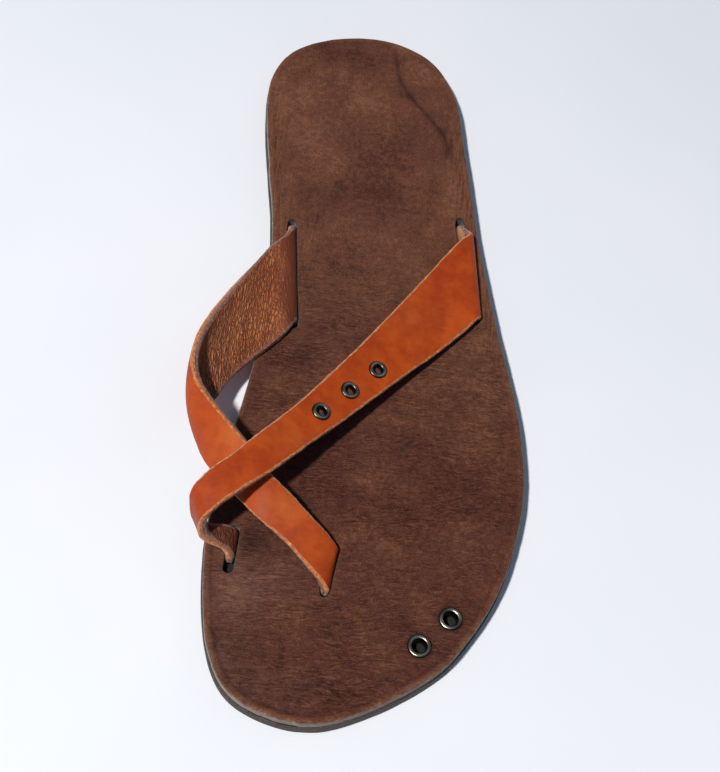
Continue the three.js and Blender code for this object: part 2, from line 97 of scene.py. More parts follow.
# Main creases of the footbed: points along the crease, half width, depth (a ridge is negative).
CREASES = [
    ([(6.2, 134.0), (8.1, 125.5), (9.9, 118.1), (14.7, 110.2), (22.9, 101.1), (28.5, 94.0), (30.5, 87.0)], 1.0, 0.34),
    ([(9.0, 134.0), (10.6, 125.5), (12.4, 117.6), (16.8, 110.9), (24.9, 102.2), (30.2, 95.0)], 1.2, -0.12),
    ([(-20.5, -129.0), (-15.0, -129.9), (-9.1, -129.6), (-3.1, -129.3), (2.8, -128.4), (10.0, -126.4)], 0.8, 0.22),
    ([(-31.4, -109.8), (-29.0, -112.6), (-27.6, -114.6), (-28.6, -117.6)], 0.6, 0.30),
    ([(6.7, -44.6), (12.0, -43.4), (18.0, -42.9)], 0.5, -0.08),
    ([(-26.0, 66.5), (-21.0, 62.0), (-19.0, 57.5)], 1.6, 0.14),
    ([(20.0, 80.0), (26.0, 74.0), (28.0, 66.0)], 1.4, 0.10),
    ([(-30.0, -96.0), (-22.0, -95.0), (-13.0, -96.5), (-5.0, -95.6)], 0.8, 0.12),
    ([(-31.5, -101.0), (-21.0, -100.4), (-10.0, -101.6), (1.0, -100.2)], 0.8, 0.12),
    ([(-29.0, -107.0), (-19.0, -106.2), (-8.0, -107.4)], 0.7, 0.12),
    ([(8.0, -92.0), (18.0, -90.0), (30.0, -90.6), (40.0, -88.0)], 0.8, 0.11),
    ([(6.0, -82.0), (17.0, -81.0), (29.0, -81.5), (42.0, -79.0), (52.0, -78.0)], 0.8, 0.11),
    ([(12.0, -64.0), (24.0, -62.5), (38.0, -62.8), (50.0, -60.5)], 0.8, 0.10),
    ([(14.0, -53.0), (27.0, -51.5), (41.0, -51.8), (55.0, -49.0)], 0.8, 0.10),
    ([(-14.0, -12.0), (-4.0, -10.5), (5.0, -11.0)], 0.8, 0.09),
    ([(-14.0, -3.0), (-3.0, -1.0), (10.0, -0.5)], 0.8, 0.09),
]


# ------------------------------------------------------------------ small tools
def smooth(a, b, x):
    t = np.clip((np.asarray(x, float) - a) / (b - a), 0, 1)
    return t * t * (3 - 2 * t)


def lattice(ix, iy, seed):
    h = (ix.astype(np.int64) * 374761393 + iy.astype(np.int64) * 668265263 + seed * 974634777) & 0x7FFFFFFF
    h = ((h ^ (h >> 13)) * 1274126177) & 0x7FFFFFFF
    h = h ^ (h >> 16)
    return (h & 0xFFFF) / 32767.5 - 1


def noise(x, y, seed=0):
    """Smooth noise between -1 and 1, with one bump to a unit."""
    x, y = np.asarray(x, float), np.asarray(y, float)
    x, y = np.broadcast_arrays(x, y)
    ix, iy = np.floor(x), np.floor(y)
    u, v = x - ix, y - iy
    u, v = u * u * (3 - 2 * u), v * v * (3 - 2 * v)
    a, b = lattice(ix, iy, seed), lattice(ix + 1, iy, seed)
    c, d = lattice(ix, iy + 1, seed), lattice(ix + 1, iy + 1, seed)
    return (a * (1 - u) + b * u) * (1 - v) + (c * (1 - u) + d * u) * v


def fractal(x, y, seed=0, octaves=3):
    return sum(noise(np.asarray(x) * 2 ** k, np.asarray(y) * 2 ** k, seed + 17 * k) * 0.5 ** k for k in range(octaves))


def lift(y):
    y = np.asarray(y, float)
    t = np.clip((SPRING_START - y) / (SOLE_LENGTH / 2 + SPRING_START), 0, None)
    return TOE_SPRING * t ** 2


def resample(points, spacing, closed=True):
    p = np.asarray(points, float)
    if closed:
        p = np.vstack([p, p[:1]])
    d = np.r_[0, np.cumsum(np.linalg.norm(np.diff(p, axis=0), axis=1))]
    n = max(int(round(d[-1] / spacing)), 3)
    q = np.linspace(0, d[-1], n, endpoint=False) if closed else np.linspace(0, d[-1], n + 1)
    return np.stack([np.interp(q, d, p[:, k]) for k in range(p.shape[1])], 1)


def moved_in(loop, distance):
    """The loop moved to the left of its direction: inwards for one that runs anticlockwise."""
    t = np.roll(loop, -1, 0) - np.roll(loop, 1, 0)
    t /= np.linalg.norm(t, axis=1)[:, None]
    return loop + np.stack([-t[:, 1], t[:, 0]], 1) * np.reshape(distance, (-1, 1))


def inside(points, loop):
    x, y = points[:, 0], points[:, 1]
    hit = np.zeros(len(points), bool)
    a, b = loop, np.roll(loop, -1, 0)
    for (x0, y0), (x1, y1) in zip(a, b):
        if y0 == y1:
            continue
        cross = (y0 > y) != (y1 > y)
        hit ^= cross & (x < (x1 - x0) * (y - y0) / (y1 - y0) + x0)
    return hit


def near(points, others):
    """Distance from each point to the nearest of the others."""
    best = np.full(len(points), 1e9)
    for k in range(0, len(others), 400):
        d = ((points[:, None, :] - others[None, k:k + 400, :]) ** 2).sum(2)
        best = np.minimum(best, d.min(1))
    return np.sqrt(best)


def to_line(points, line):
    """Distance from each point to a polyline, and how far along it the foot lies, 0 to 1."""
    line = np.asarray(line, float)
    best, along = np.full(len(points), 1e9), np.zeros(len(points))
    seg = np.linalg.norm(np.diff(line, axis=0), axis=1)
    start = np.r_[0, np.cumsum(seg)]
    for i in range(len(seg)):
        d = line[i + 1] - line[i]
        t = np.clip(((points - line[i]) @ d) / (seg[i] ** 2), 0, 1)
        r = np.linalg.norm(points - line[i] - t[:, None] * d, axis=1)
        closer = r < best
        best = np.where(closer, r, best)
        along = np.where(closer, (start[i] + t * seg[i]) / start[-1], along)
    return best, along


# ------------------------------------------------------------------ outline of the sole
def outline(inset=0.0, spacing=1.1):
    y = np.array([r[0] for r in SOLE_SECTIONS])
    k = np.arccos(np.clip(1 - 2 * (y + SOLE_LENGTH / 2) / SOLE_LENGTH, -1, 1)) / math.pi
    t = np.linspace(0, 1, 1201)
    i = np.clip(np.searchsorted(k, t, side="right") - 1, 0, len(k) - 2)

    def side(column):
        v = np.array([r[column] for r in SOLE_SECTIONS])
        m = np.empty_like(v)
        m[1:-1] = (v[2:] - v[:-2]) / (k[2:] - k[:-2])
        m[0], m[-1] = (v[1] - v[0]) / (k[1] - k[0]), (v[-1] - v[-2]) / (k[-1] - k[-2])
        h = k[i + 1] - k[i]
        u = (t - k[i]) / h
        return (v[i] * (1 + 2 * u) * (1 - u) ** 2 + m[i] * h * u * (1 - u) ** 2
                + v[i + 1] * u * u * (3 - 2 * u) + m[i + 1] * h * u * u * (u - 1))

    ys = -SOLE_LENGTH / 2 + SOLE_LENGTH * (1 - np.cos(math.pi * t)) / 2
    inner, outer = np.stack([side(1), ys], 1), np.stack([side(2), ys], 1)
    loop = np.vstack([outer[:-1], inner[:0:-1]])     # anticlockwise from the toe tip
    loop = resample(loop, spacing)
    return resample(moved_in(loop, inset), spacing) if inset else loop


def slot_loop(row, rear, front, rear_hole, front_hole):
    """Clockwise outline of a slot with a punched hole at each end."""
    r, f = np.array(row[0:2]), np.array(row[3:5])
    d = (f - r) / np.linalg.norm(f - r)
    n = np.array([-d[1], d[0]])
    w = SLOT_WIDTH / 2
    start, end = -rear, np.linalg.norm(f - r) + front

    def arc(at, size, way):
        h = size / 2
        if h > w:
            reach = math.sqrt(h * h - w * w)
            a = math.atan2(w, -reach)
            return [(at + way * (reach + h * math.cos(q)), way * h * math.sin(q)) for q in np.linspace(-a, a, 15)]
        # a hole smaller than the slot: the slot narrows to it
        q = np.linspace(-math.pi / 2, math.pi / 2, 11)
        return [(at - way * 1.6, -way * w), *[(at + way * h * math.cos(t), way * h * math.sin(t)) for t in q], (at - way * 1.6, way * w)]

    pts = [(x, -w) for x in np.arange(start + 2.0, end - 2.0, 0.9)]
    pts += arc(end, front_hole, 1)
    pts += [(x, w) for x in np.arange(end - 2.0, start + 2.0, -0.9)]
    pts += arc(start, rear_hole, -1)
    q = np.array(pts)[::-1]
    return resample(r + q[:, :1] * d + q[:, 1:] * n, 0.7)


CIRCLE = np.stack([np.cos(np.linspace(0, -2 * math.pi, 40, endpoint=False)), np.sin(np.linspace(0, -2 * math.pi, 40, endpoint=False))], 1)

lo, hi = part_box("outsole")
edge_loop = outline()
SHIFT = ((lo[0] + hi[0]) * 500 - (edge_loop[:, 0].min() + edge_loop[:, 0].max()) / 2, 0.0, 0.0)


def metres(points):
    return (np.asarray(points, float) + SHIFT) / 1000


# ------------------------------------------------------------------ meshes
def new_object(name, verts, faces, mats, face_mats=None, uvs=None, attributes=None):
    mesh = bpy.data.meshes.new(name)
    mesh.from_pydata([tuple(v) for v in verts], [], [tuple(int(i) for i in f) for f in faces])
    for m in mats:
        mesh.materials.append(m)
    if face_mats is not None:
        mesh.polygons.foreach_set("material_index", np.asarray(face_mats, np.int32))
    mesh.polygons.foreach_set("use_smooth", np.ones(len(mesh.polygons), bool))
    if uvs is not None:
        index = np.empty(len(mesh.loops), np.int32)
        mesh.loops.foreach_get("vertex_index", index)
        layer = mesh.uv_layers.new(name="pattern")
        layer.data.foreach_set("uv", np.asarray(uvs, np.float32)[index].ravel())
    for key, values in (attributes or {}).items():
        a = mesh.attributes.new(key, "FLOAT", "POINT")
        a.data.foreach_set("value", np.asarray(values, np.float32))
    mesh.validate()
    mesh.update()
    obj = bpy.data.objects.new(name, mesh)
    bpy.context.scene.collection.objects.link(obj)
    return obj


def triangles(loops, extra):
    """Triangles between an outer loop, its holes and the points inside: indices into all points."""
    pts = np.vstack([*loops, extra]) if len(extra) else np.vstack(loops)
    edges, at = [], 0
    for loop in loops:
        n = len(loop)
        edges += [(at + i, at + (i + 1) % n) for i in range(n)]
        at += n
    out = geometry.delaunay_2d_cdt([Vector(p) for p in pts], edges, [], 0, 1e-7, True)
    verts, faces, origin = out[0], out[2], out[3]
    back = [o[0] if o else -1 for o in origin]
    tri = np.array([[back[i] for i in f] for f in faces if len(f) == 3 and all(back[i] >= 0 for i in f)])
    centre = pts[tri].mean(1)
    keep = inside(centre, loops[0])
    for hole in loops[1:]:
        keep &= ~inside(centre, hole)
    tri = tri[keep]
    a, b, c = pts[tri[:, 0]], pts[tri[:, 1]], pts[tri[:, 2]]
    area = (b[:, 0] - a[:, 0]) * (c[:, 1] - a[:, 1]) - (b[:, 1] - a[:, 1]) * (c[:, 0] - a[:, 0])
    tri[area < 0] = tri[area < 0][:, ::-1]
    return pts, tri


def plate(name, loops, profiles, extra, place, mats, wall_mats, attributes=None):
    """A closed plate. Each loop's wall follows its profile of (inset, depth) from top to bottom;
    place(points, depth) gives the points in space."""
    top_loops = [moved_in(l, p[0][0]) for l, p in zip(loops, profiles)]
    pts, tri = triangles(top_loops, extra)
    flat = [pts]
    space = [place(pts, np.zeros(len(pts)) + profiles[0][0][1])]
    starts, at = [], 0
    for l in loops:
        starts.append(at)
        at += len(l)
    faces, mat = [tuple(t) for t in tri], [0] * len(tri)
    total = len(pts)
    rings = [[s + np.arange(len(l)) for s, l in zip(starts, loops)]]
    for step in range(1, len(profiles[0])):
        ring = []
        for l, p in zip(loops, profiles):
            q = moved_in(l, p[step][0])
            flat.append(q)
            space.append(place(q, np.zeros(len(q)) + p[step][1]))
            ring.append(total + np.arange(len(q)))
            total += len(q)
        rings.append(ring)
    for k in range(len(rings) - 1):
        for a, b, wall in zip(rings[k], rings[k + 1], wall_mats):
            n = len(a)
            for i in range(n):
                j = (i + 1) % n
                faces.append((a[i], b[i], b[j], a[j]))
                mat.append(0 if k < wall[0] else wall[1])
    last = [moved_in(l, p[-1][0]) for l, p in zip(loops, profiles)]
    bottom_pts, bottom = triangles(last, np.zeros((0, 2)))
    index = np.concatenate(rings[-1])
    faces += [tuple(index[t][::-1]) for t in bottom]
    mat += [wall_mats[0][1]] * len(bottom)
    flat, space = np.vstack(flat), np.vstack(space)
    att = attributes(flat, space) if attributes else None
    return new_object(name, metres(space), faces, mats, mat, flat / 100, att)


# ------------------------------------------------------------------ materials
class Nodes:
    """A material's node tree, with short ways to add what a leather or metal needs."""

    def __init__(self, name):
        self.material = bpy.data.materials.new(name)
        self.material.use_nodes = True
        self.tree = self.material.node_tree
        self.tree.nodes.clear()
        self.out = self.tree.nodes.new("ShaderNodeOutputMaterial")
        self.shader = self.tree.nodes.new("ShaderNodeBsdfPrincipled")
        self.tree.links.new(self.shader.outputs[0], self.out.inputs["Surface"])

    def link(self, source, target):
        self.tree.links.new(source, target)

    def put(self, value, socket):
        if hasattr(value, "node"):
            self.link(value, socket)
        else:
            socket.default_value = value

    def set(self, **values):
        for key, value in values.items():
            self.put(value, self.shader.inputs[key.replace("_", " ")])

    def coords(self, scale=(1, 1, 1), turn=0.0, uv=False, shift=(0, 0, 0)):
        """Object coordinates, or the cut pattern's, times 1000 x scale: a unit is 1 / scale mm."""
        c = self.tree.nodes.new("ShaderNodeTexCoord")
        m = self.tree.nodes.new("ShaderNodeMapping")
        self.link(c.outputs["UV" if uv else "Object"], m.inputs["Vector"])
        unit = 100 if uv else 1000
        m.inputs["Scale"].default_value = [s * unit for s in scale]
        m.inputs["Rotation"].default_value = (0, 0, turn)
        m.inputs["Location"].default_value = shift
        return m.outputs[0]

    def noise(self, vector, scale=1.0, detail=3.0, rough=0.5, warp=0.0):
        n = self.tree.nodes.new("ShaderNodeTexNoise")
        self.put(vector, n.inputs["Vector"])
        n.inputs["Scale"].default_value = scale
        n.inputs["Detail"].default_value = detail
        n.inputs["Roughness"].default_value = rough
        n.inputs["Distortion"].default_value = warp
        return n.outputs["Fac"], n.outputs["Color"]

    def cells(self, vector, scale=1.0, feature="DISTANCE_TO_EDGE", random=1.0):
        n = self.tree.nodes.new("ShaderNodeTexVoronoi")
        n.feature = feature
        self.put(vector, n.inputs["Vector"])
        n.inputs["Scale"].default_value = scale
        n.inputs["Randomness"].default_value = random
        return n.outputs["Distance"]

    def math(self, kind, a, b=0.0, clamp=False):
        n = self.tree.nodes.new("ShaderNodeMath")
        n.operation = kind
        n.use_clamp = clamp
        self.put(a, n.inputs[0])
        self.put(b, n.inputs[1])
        return n.outputs[0]

    def span(self, value, low, high, to_low=0.0, to_high=1.0, soft=True):
        n = self.tree.nodes.new("ShaderNodeMapRange")
        n.interpolation_type = "SMOOTHSTEP" if soft else "LINEAR"
        self.put(value, n.inputs["Value"])
        n.inputs["From Min"].default_value = low
        n.inputs["From Max"].default_value = high
        n.inputs["To Min"].default_value = to_low
        n.inputs["To Max"].default_value = to_high
        return n.outputs[0]

    def mix(self, factor, a, b, kind="MIX"):
        n = self.tree.nodes.new("ShaderNodeMix")
        n.data_type = "RGBA"
        n.blend_type = kind
        self.put(factor, n.inputs["Factor"])
        self.put(rgba(a), n.inputs["A"])
        self.put(rgba(b), n.inputs["B"])
        return n.outputs["Result"]

    def moved(self, vector, by, amount):
        """The vector pushed about by a colour noise."""
        s = self.tree.nodes.new("ShaderNodeVectorMath")
        s.operation = "SUBTRACT"
        self.link(by, s.inputs[0])
        s.inputs[1].default_value = (0.5, 0.5, 0.5)
        m = self.tree.nodes.new("ShaderNodeVectorMath")
        m.operation = "MULTIPLY_ADD"
        self.link(s.outputs[0], m.inputs[0])
        m.inputs[1].default_value = amount
        self.link(vector, m.inputs[2])
        return m.outputs[0]

    def value(self, name):
        n = self.tree.nodes.new("ShaderNodeAttribute")
        n.attribute_name = name
        return n.outputs["Fac"]

    def bump(self, height, distance, strength=1.0, base=None):
        n = self.tree.nodes.new("ShaderNodeBump")
        n.inputs["Strength"].default_value = strength
        n.inputs["Distance"].default_value = distance
        self.put(height, n.inputs["Height"])
        if base is not None:
            self.link(base, n.inputs["Normal"])
        return n.outputs[0]


def rgba(c):
    if hasattr(c, "node"):
        return c
    if isinstance(c, str):
        v = [int(c[i:i + 2], 16) / 255 for i in (0, 2, 4)]
        v = [x / 12.92 if x <= 0.04045 else ((x + 0.055) / 1.055) ** 2.4 for x in v]
        return (*v, 1.0)
    return (*c[:3], 1.0)


def footbed_leather():
    n = Nodes("footbed leather")
    flat = n.coords()
    tone, stain = n.value("tone"), n.value("stain")
    wrinkle, fibre = n.value("wrinkle"), n.value("fibre")
    rim, wear, heel = n.value("rim"), n.value("crease"), n.value("heel")
    # clouds of pulled-up wax at three sizes
    broad, _ = n.noise(flat, 0.035, 4, 0.55, 0.4)
    patch, _ = n.noise(flat, 0.12, 5, 0.6, 0.8)
    small, small_c = n.noise(flat, 0.55, 4, 0.65)
    speck, _ = n.noise(flat, 1.5, 4, 0.75)
    # fine wrinkles that run across the foot
    _, wave = n.noise(n.coords((0.05, 0.09, 0.05)), 1.0, 2, 0.5)
    across = n.moved(n.coords((1, 1, 1), turn=math.radians(-6)), wave, (4.0, 7.0, 0))
    stretched = n.tree.nodes.new("ShaderNodeVectorMath")
    stretched.operation = "MULTIPLY"
    n.link(across, stretched.inputs[0])
    stretched.inputs[1].default_value = (0.18, 0.92, 0.0)
    lines, _ = n.noise(stretched.outputs[0], 1.0, 4, 0.62, 0.8)
    line = n.span(n.math("ABSOLUTE", n.math("SUBTRACT", lines, 0.5)), 0.0, 0.07, 1.0, 0.0)
    net = n.span(n.cells(stretched.outputs[0], 0.9), 0.0, 0.22, 1.0, 0.0)
    grain = n.math("MULTIPLY", n.math("MAXIMUM", line, n.math("MULTIPLY", net, 0.8)), wrinkle)
    # pores and scars of the smooth heel part
    pore = n.span(n.cells(n.moved(flat, small_c, (0.7, 0.7, 0.7)), 1.15), 0.0, 0.2, 1.0, 0.0)
    pore = n.math("MULTIPLY", pore, n.math("SUBTRACT", 1.0, n.math("MULTIPLY", wrinkle, 0.75)))
    scar, _ = n.noise(n.coords((0.16, 1.15, 1.0), turn=math.radians(38)), 1.0, 4, 0.7, 0.6)
    scar = n.math("MULTIPLY", n.span(scar, 0.60, 0.72), n.math("SUBTRACT", 1.0, wrinkle))
    # fibres along the edge of the waist
    streaks, _ = n.noise(n.coords((1.5, 0.10, 1.0), turn=math.radians(4)), 1.0, 4, 0.65, 0.3)
    streak = n.math("MULTIPLY", n.span(streaks, 0.40, 0.62), fibre)
    streak_dark = n.math("MULTIPLY", n.span(streaks, 0.5, 0.36), fibre)

    mixed = n.math("ADD", n.math("MULTIPLY", n.span(broad, 0.30, 0.70), 0.30), n.math("MULTIPLY", n.span(patch, 0.26, 0.74), 0.32))
    mixed = n.math("ADD", mixed, n.math("MULTIPLY", n.span(small, 0.28, 0.72), 0.38))
    mixed = n.math("ADD", mixed, n.math("MULTIPLY", tone, 0.50), clamp=True)
    dark = n.mix(heel, "3e1c12", "4a271b")
    middle = n.mix(heel, "5e3222", "6a3f2e")
    light = n.mix(heel, "7e5039", "865840")
    colour = n.mix(n.span(mixed, 0.08, 0.55), dark, middle)
    colour = n.mix(n.span(mixed, 0.50, 1.0), colour, light)
    purple, _ = n.noise(n.coords((1, 1, 1), shift=(70, 20, 5)), 0.045, 3, 0.5, 0.5)
    colour = n.mix(n.math("MULTIPLY", n.span(purple, 0.42, 0.68), 0.35), colour, "4a2422")
    colour = n.mix(n.math("MULTIPLY", streak, 0.60), colour, "87593c")
    colour = n.mix(n.math("MULTIPLY", streak_dark, 0.45), colour, "381c13")
    colour = n.mix(n.math("MULTIPLY", scar, 0.30), colour, "94664a")
    colour = n.mix(n.math("MULTIPLY", n.span(speck, 0.52, 0.72), 0.40), colour, "8a6048")
    colour = n.mix(n.math("MULTIPLY", n.span(speck, 0.48, 0.28), 0.42), colour, "2c150f")
    colour = n.mix(n.math("MULTIPLY", grain, 0.50), colour, "2c150f")
    colour = n.mix(n.math("MULTIPLY", pore, 0.24), colour, "321a12")
    light_line = n.math("MULTIPLY", n.math("MULTIPLY", n.span(lines, 0.57, 0.70), wrinkle), 0.28)
    colour = n.mix(light_line, colour, "8b6148")
    # Painted sheen: the toe and medial forefoot are lightened to a purple-grey that stands for the light reflected off
    # the leather.
    sheen, _ = n.noise(n.coords((1, 1, 1), shift=(11, 4, 0)), 0.3, 4, 0.65)
    colour = n.mix(n.math("MULTIPLY", n.value("wax"), n.span(sheen, 0.3, 0.7, 0.2, 0.62)), colour, "86645a")
    # Dark stains, and the painted shade along the slot edges and round the sole eyelets.
    colour = n.mix(n.math("MULTIPLY", stain, 0.78), colour, "22100d")
    torn, _ = n.noise(flat, 0.55, 4, 0.7)
    colour = n.mix(n.math("MULTIPLY", wear, n.span(torn, 0.38, 0.56, 0.15, 0.95)), colour, "26110f")
    fray, _ = n.noise(flat, 0.9, 4, 0.7)
    colour = n.mix(n.math("MULTIPLY", rim, n.span(fray, 0.3, 0.75, 0.2, 0.9)), colour, "96694c")
    rough = n.math("ADD", n.span(patch, 0.3, 0.7, 0.50, 0.66), n.math("MULTIPLY", grain, 0.12))
    rough = n.math("ADD", rough, n.math("MULTIPLY", rim, 0.15))
    height = n.math("SUBTRACT", n.math("MULTIPLY", small, 0.35), n.math("MULTIPLY", grain, 1.0))
    height = n.math("SUBTRACT", height, n.math("MULTIPLY", pore, 0.35))
    height = n.math("ADD", height, n.math("MULTIPLY", speck, 0.5))
    height = n.math("ADD", height, n.math("MULTIPLY", streak, 0.3))
    n.set(Base_Color=colour, Roughness=rough, Normal=n.bump(height, 0.00026))
    n.set(Specular_IOR_Level=0.22)
    return n.material


def raw_edge(name, dark, mid, light, scale=1.0, stretch=(1, 1, 1), uv=False, depth=0.0003):
    """Cut edge of leather: loose fibres, with dark dye left in places."""
    n = Nodes(name)
    flat = n.coords(stretch, uv=uv)
    coarse, _ = n.noise(flat, 0.5 * scale, 4, 0.65, 0.5)
    fine, _ = n.noise(flat, 2.6 * scale, 4, 0.75, 0.3)
    mixed = n.math("ADD", n.math("MULTIPLY", coarse, 0.6), n.math("MULTIPLY", fine, 0.4))
    colour = n.mix(n.span(mixed, 0.34, 0.52), dark, mid)
    colour = n.mix(n.span(mixed, 0.5, 0.66), colour, light)
    n.set(Base_Color=colour, Roughness=0.88, Normal=n.bump(mixed, depth))
    n.set(Specular_IOR_Level=0.2, Sheen_Weight=0.25, Sheen_Roughness=0.6)
    return n.material


def strap_leather():
    n = Nodes("strap face leather")
    flat = n.coords()
    soft = n.value("soft")
    broad, _ = n.noise(flat, 0.06, 4, 0.55, 0.5)
    patch, _ = n.noise(flat, 0.25, 4, 0.6, 0.3)
    fine, fine_c = n.noise(flat, 2.2, 4, 0.6)
    pores = n.cells(n.moved(flat, fine_c, (0.35, 0.35, 0.35)), 2.4)
    scratch, _ = n.noise(n.coords((0.05, 1.7, 0.3), turn=math.radians(32)), 1.0, 3, 0.7)
    mixed = n.math("ADD", n.math("MULTIPLY", broad, 0.6), n.math("MULTIPLY", patch, 0.4))
    colour = n.mix(n.span(mixed, 0.34, 0.66), "983409", "b4480f")
    colour = n.mix(n.math("MULTIPLY", n.span(fine, 0.5, 0.8), 0.22), colour, "c45c22")
    colour = n.mix(n.math("MULTIPLY", n.span(fine, 0.5, 0.2), 0.25), colour, "842a06")
    colour = n.mix(n.math("MULTIPLY", n.span(scratch, 0.6, 0.74), 0.14), colour, "d0763c")
    # Painted highlight: where the soft mask is set, the face is lightened to a pale orange that stands for highlights
    # of the light on the strap.
    colour = n.mix(n.math("MULTIPLY", soft, n.span(patch, 0.25, 0.7, 0.30, 0.60)), colour, "c06c34")
    rough = n.math("ADD", n.span(patch, 0.3, 0.7, 0.42, 0.54), n.math("MULTIPLY", soft, -0.05))
    height = n.math("ADD", n.math("MULTIPLY", fine, 0.5), n.math("MULTIPLY", n.span(pores, 0.0, 0.18), 0.35))
    height = n.math("ADD", height, n.math("MULTIPLY", patch, 0.8))
    n.set(Base_Color=colour, Roughness=rough, Normal=n.bump(height, 0.00007))
    n.set(Specular_IOR_Level=0.20)
    return n.material


def lining_leather():
    n = Nodes("lining leather")
    flat = n.coords(uv=True)
    pebble_and_painted_light, raw, aged = n.value("pebble"), n.value("raw"), n.value("aged")
    broad, _ = n.noise(flat, 0.09, 4, 0.55, 0.5)
    _, push = n.noise(flat, 0.40, 3, 0.6)
    pushed = n.moved(flat, push, (1.8, 3.0, 0))
    long = n.tree.nodes.new("ShaderNodeVectorMath")
    long.operation = "MULTIPLY"
    n.link(pushed, long.inputs[0])
    long.inputs[1].default_value = (0.80, 0.52, 0.0)
    groove = n.cells(long.outputs[0], 1.0)
    dome = n.math("POWER", n.span(groove, 0.0, 0.46, 0.0, 1.0, soft=False), 0.6)
    fold, _ = n.noise(long.outputs[0], 0.5, 3, 0.6, 0.8)
    tiny, _ = n.noise(flat, 2.6, 3, 0.6)
    pit = n.span(n.cells(flat, 1.7), 0.0, 0.25)
    # The base is lighter where the pebble mask is strong: partly painted light, for the lower part of the toe strap's
    # lining that faces the light.
    colour = n.mix(n.span(broad, 0.3, 0.7), n.mix(pebble_and_painted_light, "622a15", "8e4826"), n.mix(pebble_and_painted_light, "783a1e", "ad6439"))
    # Painted shade in the crevices between the pebbles, and painted highlights on their tops.
    colour = n.mix(n.math("MULTIPLY", n.math("MULTIPLY", n.span(dome, 0.60, 0.0), pebble_and_painted_light), 0.64), colour, "3c150a")
    colour = n.mix(n.math("MULTIPLY", n.math("MULTIPLY", n.span(dome, 0.6, 1.0), pebble_and_painted_light), 0.52), colour, "d39a70")
    colour = n.mix(n.math("MULTIPLY", aged, 0.75), colour, "46190c")
    colour = n.mix(n.math("MULTIPLY", n.span(tiny, 0.5, 0.25), 0.25), colour, "5a2a17")
    colour = n.mix(n.math("MULTIPLY", raw, 0.8), colour, "c99d7a")
    height = n.math("MULTIPLY", n.math("ADD", dome, n.math("MULTIPLY", fold, 0.7)), pebble_and_painted_light)
    height = n.math("ADD", height, n.math("MULTIPLY", pit, 0.08))
    height = n.math("ADD", height, n.math("MULTIPLY", tiny, 0.08))
    rough = n.span(dome, 0.0, 1.0, 0.50, 0.27)
    n.set(Base_Color=colour, Roughness=rough, Normal=n.bump(height, 0.00048))
    n.set(Specular_IOR_Level=0.5)
    return n.material


def rubber_material():
    n = Nodes("outsole rubber")
    flat = n.coords()
    broad, _ = n.noise(flat, 0.12, 4, 0.6, 0.4)
    dust, _ = n.noise(flat, 0.8, 5, 0.7)
    fine, _ = n.noise(flat, 3.2, 3, 0.6)
    rubbed, _ = n.noise(n.coords((0.25, 0.25, 2.2)), 1.0, 3, 0.6)
    colour = n.mix(n.span(broad, 0.3, 0.7), "3a3430", "4b443e")
    colour = n.mix(n.math("MULTIPLY", n.span(dust, 0.48, 0.75), 0.5), colour, "756b61")
    colour = n.mix(n.math("MULTIPLY", n.span(rubbed, 0.5, 0.75), 0.3), colour, "6a6159")
    height = n.math("ADD", n.math("MULTIPLY", dust, 0.7), n.math("MULTIPLY", fine, 0.5))
    n.set(Base_Color=colour, Roughness=n.span(broad, 0.3, 0.7, 0.72, 0.86), Normal=n.bump(height, 0.0002))
    n.set(Specular_IOR_Level=0.35)
    return n.material


def eyelet_metal():
    n = Nodes("antique eyelet metal")
    flat = n.coords()
    cloud, _ = n.noise(flat, 0.7, 4, 0.6, 0.4)
    fine, _ = n.noise(flat, 4.0, 3, 0.6)
    worn = n.value("worn")
    colour = n.mix(n.span(cloud, 0.32, 0.7), "23201c", "3f3a33")
    colour = n.mix(n.math("MULTIPLY", worn, n.span(cloud, 0.2, 0.75, 0.55, 1.0)), colour, "c4baa8")
    colour = n.mix(n.math("MULTIPLY", n.span(fine, 0.55, 0.8), 0.3), colour, "100e0c")
    rough = n.math("SUBTRACT", n.span(cloud, 0.3, 0.7, 0.40, 0.28), n.math("MULTIPLY", worn, 0.08))
    n.set(Base_Color=colour, Roughness=rough, Normal=n.bump(fine, 0.00003))
    n.set(Metallic=1.0)
    return n.material


def floor_material():
    n = Nodes("floor")
    flat = n.coords()
    broad, _ = n.noise(flat, 0.01, 2, 0.5)
    colour = n.mix(n.span(broad, 0.3, 0.7), "e6eaf2", "eaedf4")
    n.set(Base_Color=colour, Roughness=0.9)
    n.set(Specular_IOR_Level=0.2)
    return n.material


M_TOP = footbed_leather()
M_SIDE = raw_edge("footbed cut edge", "33201a", "5f4133", "947058", 1.1)
# The hole walls are near-black: painted shade down the slots and holes.
M_HOLE = raw_edge("footbed hole wall", "120a08", "24140f", "3c241b", 1.1)
M_FACE = strap_leather()
M_FACE_CUT = raw_edge("strap cut edge", "74340f", "c27032", "e6ad76", 2.0, depth=0.00045)
M_LINING = lining_leather()
M_LINING_CUT = raw_edge("lining cut edge", "401812", "844e3e", "b48a76", 2.1, depth=0.00045)
# The flesh side is dark: painted shade where it shows at the bottom of the strap eyelets.
M_INNER = raw_edge("lining flesh side", "2a1210", "4c2622", "6f3f3a", 1.6)
M_RUBBER = rubber_material()
# The outsole's top face is near-black: painted shade seen down the slots and sole eyelets.
M_RUBBER_TOP = raw_edge("outsole inner face", "0e0c0b", "191614", "2b2622", 1.2)
M_METAL = eyelet_metal()


